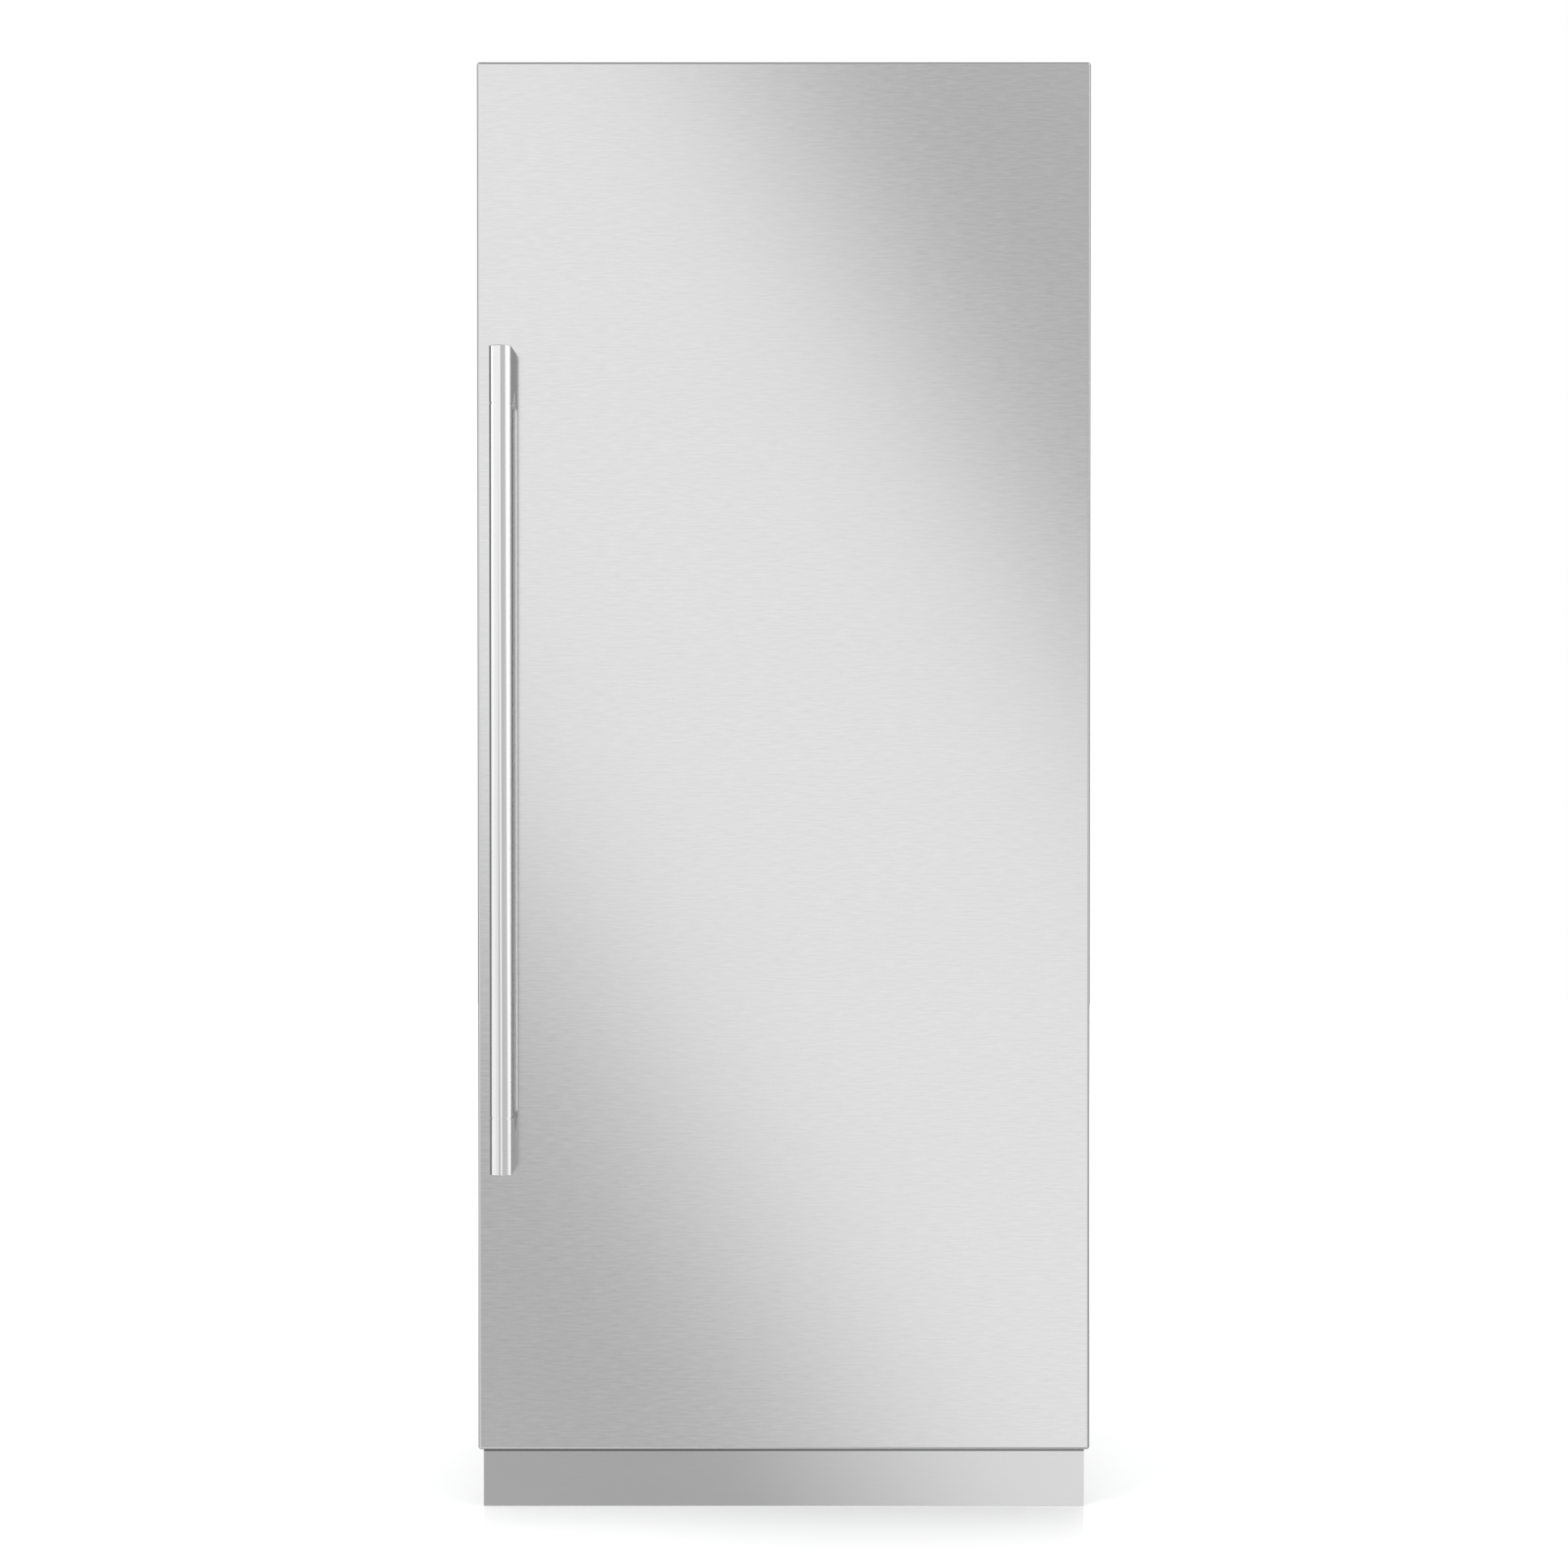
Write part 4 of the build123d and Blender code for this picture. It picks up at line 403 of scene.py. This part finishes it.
# Condenser fan and frame, drain pan, power inlet, hinge bushes and rollers: black nylon,
# with a dry satin skin that greys a little where it rubs.
black_plastic = Finish(bpy.data.materials.new("black_nylon"))
skin = black_plastic.noise((900, 900, 900), 2.0, 0.5)
rub = black_plastic.noise((45, 45, 45), 4.0, 0.65)
nylon_tone = rub * 0.7 + skin * 0.3
black_plastic.coat(
    Base_Color=black_plastic.between(nylon_tone, (0.02, 0.021, 0.022), (0.055, 0.055, 0.056)),
    Roughness=rub * 0.16 + skin * 0.08 + 0.36,
    Normal=black_plastic.relief(skin, 0.00005, 0.5),
)
dress(
    black_plastic,
    "condenser_fan",
    "condenser_fan_frame",
    "drain_pan",
    "power_inlet",
    "hinge_bushings",
    "rear_roller_left",
    "rear_roller_right",
)


# Compressor: a welded steel shell, dipped in black enamel that sags a little as it dries.
# It stands on four rubber grommets.
enamel = Finish(bpy.data.materials.new("black_enamel"))
sag = enamel.noise((60, 60, 25), 3.0, 0.55)
dust = enamel.noise((240, 240, 240), 3.0, 0.7)
enamel.coat(
    Base_Color=enamel.between(dust, (0.012, 0.012, 0.013), (0.04, 0.04, 0.041)),
    Roughness=dust * 0.2 + 0.16,
    Coat_Weight=0.4,
    Normal=enamel.relief(sag, 0.0003, 0.5),
)
dress(enamel, "compressor")

grommet = Finish(bpy.data.materials.new("black_rubber"))
talc = grommet.noise((500, 500, 500), 3.0, 0.6)
grommet.coat(
    Base_Color=grommet.between(talc, (0.015, 0.015, 0.015), (0.05, 0.05, 0.05)),
    Roughness=talc * 0.2 + 0.62,
    Normal=grommet.relief(talc, 0.0001, 0.6),
)
dress(grommet, "compressor_grommets")


# Condenser coil and evaporator: thin aluminium fins pressed on tube, mill finish, with
# the rolling lines along them and a little oxide bloom.
mill = Finish(bpy.data.materials.new("mill_aluminium"))
rolling = mill.noise((30, 500, 500), 2.0, 0.6)
oxide = mill.noise((70, 70, 70), 4.0, 0.65)
mill.coat(
    Base_Color=mill.between(oxide * 0.6 + rolling * 0.4, (0.6, 0.61, 0.62), (0.8, 0.805, 0.81)),
    Metallic=1.0,
    Roughness=oxide * 0.2 + 0.28,
    Normal=mill.relief(rolling, 0.00002, 0.5),
)
dress(mill, "condenser_coil", "evaporator")


# Levelling legs: turned steel with a pressed foot, bright zinc plated with a blue passivate.
# The plating shows the fine rings of the lathe and tarnishes in patches.
zinc_plate = Finish(bpy.data.materials.new("bright_zinc_plate"))
turning = zinc_plate.noise((30, 30, 900), 2.0, 0.5)
tarnish = zinc_plate.noise((80, 80, 80), 3.0, 0.6)
plate_tone = tarnish * 0.7 + turning * 0.3
zinc_plate.coat(
    Base_Color=zinc_plate.between(plate_tone, (0.6, 0.63, 0.67), (0.77, 0.79, 0.81)),
    Metallic=1.0,
    Roughness=tarnish * 0.14 + 0.2,
    Normal=zinc_plate.relief(turning, 0.00002, 0.5),
)
dress(zinc_plate, "levelling_leg_left", "levelling_leg_right")


# Sheet-metal screws: pan heads 9 mm across with a cross recess, in the same zinc plate. They
# hold the back panel and the machine cover by their rims, the wall brackets by their feet,
# and the hinge cover.
def open_piece(piece, kind, wanted):
    """Opens a piece in edit mode, with only the faces or edges that are wanted selected."""
    bpy.ops.object.mode_set(mode="EDIT")
    bpy.ops.mesh.select_mode(type=kind)
    bpy.ops.mesh.select_all(action="DESELECT")
    bpy.ops.object.mode_set(mode="OBJECT")
    for item in piece.data.polygons if kind == "FACE" else piece.data.edges:
        item.select = wanted(item)
    bpy.ops.object.mode_set(mode="EDIT")


def settle(piece):
    """Applies a piece's place and turn to its mesh, with only that piece selected."""
    bpy.ops.object.select_all(action="DESELECT")
    piece.select_set(True)
    bpy.context.view_layer.objects.active = piece
    bpy.ops.object.transform_apply(location=True, rotation=True, scale=True)


head_radius = 0.0046
head_rise = 0.0023
head_round = 0.0013
recess_long = 0.0052
recess_wide = 0.0011
recess_deep = 0.0026
bpy.ops.mesh.primitive_cylinder_add(
    vertices=24, radius=head_radius, depth=head_rise, location=(0, 0, head_rise / 2)
)
head = bpy.context.object
bpy.ops.object.transform_apply(location=True)
open_piece(head, "FACE", lambda face: face.center.z > 0.9 * head_rise)
bpy.ops.mesh.bevel(offset=head_round, segments=4, affect="EDGES")
bpy.ops.object.mode_set(mode="OBJECT")
for arm in ((recess_long, recess_wide, recess_deep), (recess_wide, recess_long, recess_deep)):
    bpy.ops.mesh.primitive_cube_add(size=1, location=(0, 0, head_rise), scale=arm)
    cutter = bpy.context.object
    recess = head.modifiers.new("recess", "BOOLEAN")
    recess.object = cutter
    recess.solver = "EXACT"
    bpy.context.view_layer.objects.active = head
    bpy.ops.object.modifier_apply(modifier="recess")
    bpy.data.objects.remove(cutter)
bpy.ops.object.select_all(action="DESELECT")
head.select_set(True)
bpy.ops.object.shade_smooth_by_angle(angle=math.radians(35))
bpy.ops.object.select_all(action="DESELECT")
head.data.materials.append(zinc_plate.owner)

back_face = 0.344
rim_x = 0.434
rim_low, rim_high, rim_pitch = 0.31, 2.118, 0.452
cover_low, cover_high = 0.05, 0.283
foot_x, foot_shift = 0.33, 0.026
foot_y, foot_top = 0.32, 2.137
cap_x, cap_shift = 0.387, 0.04
cap_y, cap_face = -0.112, 2.151
screw_turn = 0.7
side_screws = [rim_low + row * rim_pitch for row in range(5)]
back_rim = [(x, back_face, z) for z in side_screws for x in (-rim_x, rim_x)]
back_rim += [(x, back_face, z) for z in (rim_low, rim_high) for x in (-rim_x / 2, 0, rim_x / 2)]
across_rim = [(column - 2) * rim_x / 2 for column in range(5)]
cover_rim = [(x, back_face, z) for z in (cover_low, cover_high) for x in across_rim]
foot_shifts = (-foot_shift, foot_shift)
bracket_feet = [(foot + x, foot_y, foot_top) for foot in (-foot_x, foot_x) for x in foot_shifts]
cap_top = [(cap_x + x, cap_y, cap_face) for x in (-cap_shift, cap_shift)]
for number, place in enumerate(back_rim + cover_rim + bracket_feet + cap_top, start=1):
    screw = head.copy()
    screw.data = head.data.copy()
    screw.name = f"screw_{number:02d}"
    bpy.context.collection.objects.link(screw)
    screw.rotation_mode = "ZYX"
    on_back = place[1] == back_face
    screw.rotation_euler = (math.radians(-90) if on_back else 0, 0, screw_turn * number)
    screw.location = place
    settle(screw)
    screw.select_set(False)
    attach(screw, "cabinet")
bpy.data.objects.remove(head)


# Light lenses: strips of opal plastic over rows of small lamps, in both side walls and the
# ceiling. The lamps show as slightly brighter spots 30 mm apart along the strip.
opal = Finish(bpy.data.materials.new("opal_light_lens"))
lamp_row = {"Vector": opal.place(), "Scale": 10.5, "Distortion": 0.0}
spots = opal.node("TexWave", {"bands_direction": "Z"}, lamp_row)
haze = opal.noise((40, 40, 40), 2.0, 0.5)
opal.coat(
    Base_Color=opal.between(haze, (0.86, 0.88, 0.9), (0.93, 0.94, 0.95)),
    Roughness=haze * 0.08 + 0.3,
    Emission_Color=opal.between(spots, (0.82, 0.9, 1.0), (1.0, 1.0, 1.0)),
    Emission_Strength=5.0,
)
dress(opal, "light_lenses")


# Control panel under the ceiling: a black glass strip with touch marks that light up from
# behind. Its marks are thin raised mouldings of lit opal, set out in one row.
touch_glass = Finish(bpy.data.materials.new("black_touch_glass"))
prints = touch_glass.noise((60, 60, 60), 4.0, 0.6)
touch_glass.coat(
    Base_Color=touch_glass.between(prints, (0.008, 0.009, 0.011), (0.02, 0.021, 0.024)),
    Roughness=prints * 0.09 + 0.05,
    Coat_Weight=0.6,
)
dress(touch_glass, "control_panel")

lit_mark = Finish(bpy.data.materials.new("lit_opal_mark"))
clouding = lit_mark.noise((500, 500, 500), 2.0, 0.5)
lit_mark.coat(
    Base_Color=lit_mark.between(clouding, (0.7, 0.74, 0.78), (0.82, 0.85, 0.88)),
    Roughness=clouding * 0.1 + 0.35,
    Emission_Color=lit_mark.between(clouding, (0.7, 0.86, 1.0), (0.85, 0.94, 1.0)),
    Emission_Strength=2.4,
)

touch_face_height, touch_face_depth = 20, 9
touch_face_turn = math.atan2(touch_face_height, -touch_face_depth)
touch_face_y, touch_face_z = -0.1205, 2.072
stroke_wide = 0.0007
stroke_high = 0.0006
stroke_round = 0.00034


def raise_mark(mark, name, place):
    """Sets a mark made flat at the origin on the panel's sloping face, place from its middle."""
    mark.name = name
    mark.data.materials.append(lit_mark.owner)
    mark.rotation_euler = (touch_face_turn, 0, 0)
    mark.location = (place, touch_face_y, touch_face_z)
    settle(mark)
    bpy.ops.object.shade_smooth_by_angle(angle=math.radians(40))
    bpy.ops.object.select_all(action="DESELECT")
    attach(mark, "cabinet")


def stroke(across, along):
    """A bar with rounded ends, half sunk in the face, as a new piece at the origin."""
    bpy.ops.mesh.primitive_cube_add(size=1, scale=(across, along, stroke_high))
    made = bpy.context.object
    bpy.ops.object.transform_apply(scale=True)
    heights = [corner.co.z for corner in made.data.vertices]
    open_piece(made, "EDGE", lambda edge: heights[edge.vertices[0]] != heights[edge.vertices[1]])
    bpy.ops.mesh.bevel(offset=stroke_round, segments=4, affect="EDGES")
    bpy.ops.object.mode_set(mode="OBJECT")
    bpy.ops.object.select_all(action="DESELECT")
    return made


power_place = -0.09
power_ring = 0.0034
power_tick = 0.0032
sign_place = 0.045
sign_long = 0.005
level_pitch = 0.011
level_dot = 0.0008
level_flat = 0.45
bpy.ops.mesh.primitive_torus_add(
    major_segments=40,
    minor_segments=8,
    major_radius=power_ring,
    minor_radius=stroke_wide / 2,
    location=(0, 0, 0),
)
raise_mark(bpy.context.object, "mark_power", power_place)
raise_mark(stroke(stroke_wide, power_tick), "mark_power_tick", power_place)
raise_mark(stroke(sign_long, stroke_wide), "mark_colder", -sign_place)
for step in range(5):
    bpy.ops.mesh.primitive_uv_sphere_add(
        segments=16,
        ring_count=8,
        radius=level_dot,
        location=(0, 0, 0),
        scale=(1, 1, level_flat),
    )
    raise_mark(bpy.context.object, f"mark_level_{step + 1}", (step - 2) * level_pitch)
upright_stroke = stroke(stroke_wide, sign_long)
warmer = stroke(sign_long, stroke_wide)
crossing = warmer.modifiers.new("crossing", "BOOLEAN")
crossing.operation = "UNION"
crossing.object = upright_stroke
crossing.solver = "EXACT"
bpy.context.view_layer.objects.active = warmer
bpy.ops.object.modifier_apply(modifier="crossing")
bpy.data.objects.remove(upright_stroke)
raise_mark(warmer, "mark_warmer", sign_place)


# Floor and backdrop: a plain white studio floor with a slight gloss, white to the camera.
# Metal looks through it to the studio's soft boxes, and it keeps the object's shadow.
bpy.ops.mesh.primitive_plane_add(size=16, location=(0, 0, 0))
floor = bpy.context.object
floor.name = "studio_floor"
bpy.ops.object.mode_set(mode="EDIT")
bpy.ops.mesh.subdivide(number_cuts=3)
bpy.ops.object.mode_set(mode="OBJECT")
floor_white = Finish(bpy.data.materials.new("white_floor"))
ray = floor_white.node("LightPath", out="Is Camera Ray")
mirror_ray = floor_white.node("LightPath", out="Is Glossy Ray")
polish = floor_white.noise((3, 3, 3), 2.0, 0.5)
# The floor's glow to the camera is painted light: weak near the object and stronger away from it,
# so that the object's shadow and reflection fade out into white.
front_y, near_y, near_white = -0.3, -0.54, 0.35
shade_radius, white_radius, shade_white = 1.0, 2.6, 0.19
nearness = {"Value": floor_white.along(1), "From Min": front_y, "From Max": near_y}
nearness |= {"To Min": shade_white, "To Max": near_white}
afar = floor_white.node("VectorMath", {"operation": "LENGTH"}, {0: floor_white.place()}, "Value")
farness = {"Value": afar, "From Min": shade_radius, "From Max": white_radius}
farness |= {"To Min": shade_white, "To Max": 1.0}
near_painted_glow = floor_white.node("MapRange", None, nearness)
far_painted_glow = floor_white.node("MapRange", None, farness)
painted_glow = floor_white.reckon("MAXIMUM", near_painted_glow, far_painted_glow)
ground = floor_white.node(
    "BsdfPrincipled",
    None,
    {
        "Base Color": floor_white.between(polish, (0.9, 0.9, 0.9), (0.91, 0.91, 0.91)),
        "Roughness": polish * 0.03 + 0.09,
        "Specular IOR Level": 0.9,
        "Emission Color": floor_white.between(ray * painted_glow, (0, 0, 0), (1, 1, 1)),
        "Emission Strength": 1.0,
    },
)
clear = floor_white.node("BsdfTransparent")
shown = floor_white.node("MixShader", None, {0: mirror_ray, 1: ground, 2: clear})
floor_white.node("OutputMaterial", None, {"Surface": shown})
floor.data.materials.append(floor_white.owner)


# Studio: white all round, with soft boxes in front that metal sees as one broad diagonal
# light between two darker flags, and three large lamps for the shape of pale surfaces.
studio = bpy.data.worlds.new("studio")
bpy.context.scene.world = studio
sky = Finish(studio)
ray_kind = sky.node("LightPath", out="Is Camera Ray")
mirror_kind = sky.node("LightPath", out="Is Glossy Ray")
aim = sky.node("TexCoord", out="Generated")
across = sky.node("SeparateXYZ", None, {"Vector": aim}, 0)
along = sky.node("SeparateXYZ", None, {"Vector": aim}, 1)
upward = sky.node("SeparateXYZ", None, {"Vector": aim}, 2)
lean = 0.625
reach = 1.2
horizon_low, horizon_high = -0.06, 0.12
front_end = 0.03
flag_end, wall_start = 0.6, 0.86
tilt = across + upward * lean
open_boxes = ((-1.15, 1.2), (-0.88, 1.2), (-0.78, 1.0), (0.105, 1.0))
right_flag = ((0.183, 0.525), (0.3, 0.57), (0.76, 0.62), (0.9, 1.2), (1.15, 1.2))
left_flag = (
    (-1.15, 1.0),
    (-0.88, 1.0),
    (-0.78, 0.9),
    (-0.44, 0.85),
    (-0.35, 0.57),
    (-0.18, 0.525),
    (-0.085, 1.0),
)


def soft_boxes(stops):
    """The light in front by tilt, from stops of tilt and strength."""
    marks = [
        ((place + reach) / (2 * reach), (strength, strength, strength, 1))
        for place, strength in stops
    ]
    return sky.node("ValToRGB", {"stops": marks}, {0: tilt * (1 / (2 * reach)) + 0.5})


high_light = soft_boxes(open_boxes + right_flag)
low_light = soft_boxes(left_flag + open_boxes[-1:] + right_flag)
raised = sky.rise(upward, horizon_low, horizon_high)
front_light = sky.between(raised, low_light, high_light)
behind = sky.reckon("GREATER_THAN", along, front_end)
flag, wall = (0.2, 0.2, 0.2, 1), (1, 1, 1, 1)
back_stops = [(0.0, flag), (flag_end, flag), (wall_start, wall), (1.0, wall)]
back_light = sky.node("ValToRGB", {"stops": back_stops}, {0: along})
mirrored = sky.between(behind, front_light, back_light)
lit = sky.between(mirror_kind, (0.74, 0.745, 0.75), mirrored)
seen = sky.between(ray_kind, lit, (1, 1, 1))
glow = sky.node("Background", None, {"Color": seen, "Strength": 1.0})
sky.node("OutputWorld", None, {"Surface": glow})

lamp_aim = 1.0
for name, place, size, power in (
    ("key_box", (-2.6, -3.4, 3.6), 2.4, 90),
    ("fill_box", (3.2, -2.2, 2.6), 2.4, 38),
    ("back_box", (0.6, 4.2, 3.0), 2.6, 60),
):
    bpy.ops.object.light_add(type="AREA", location=place)
    lamp = bpy.context.object
    lamp.name = name
    lamp.data.size = size
    lamp.data.energy = power
    lamp.visible_glossy = False
    down = math.atan2(math.hypot(place[0], place[1]), place[2] - lamp_aim)
    lamp.rotation_euler = (down, 0, math.atan2(-place[0], place[1]) + math.pi)


# Camera: level with the middle of the door, four metres in front of it, tipped down a
# little, with a 62 mm lens, as the photograph's edges run.
photo_pixels = 1932
focal_pixels = 3327
sensor_width = 36
tip_down = 0.59
stand_x, stand_y, stand_z = 0.0002, -4.285, 1.129
bpy.ops.object.camera_add(location=(stand_x, stand_y, stand_z))
camera = bpy.context.object
camera.rotation_euler = (math.radians(90 - tip_down), 0, 0)
camera.data.sensor_width = sensor_width
camera.data.lens = focal_pixels / photo_pixels * sensor_width
camera.data.dof.use_dof = False
bpy.context.scene.camera = camera
bpy.context.scene.view_settings.view_transform = "Standard"
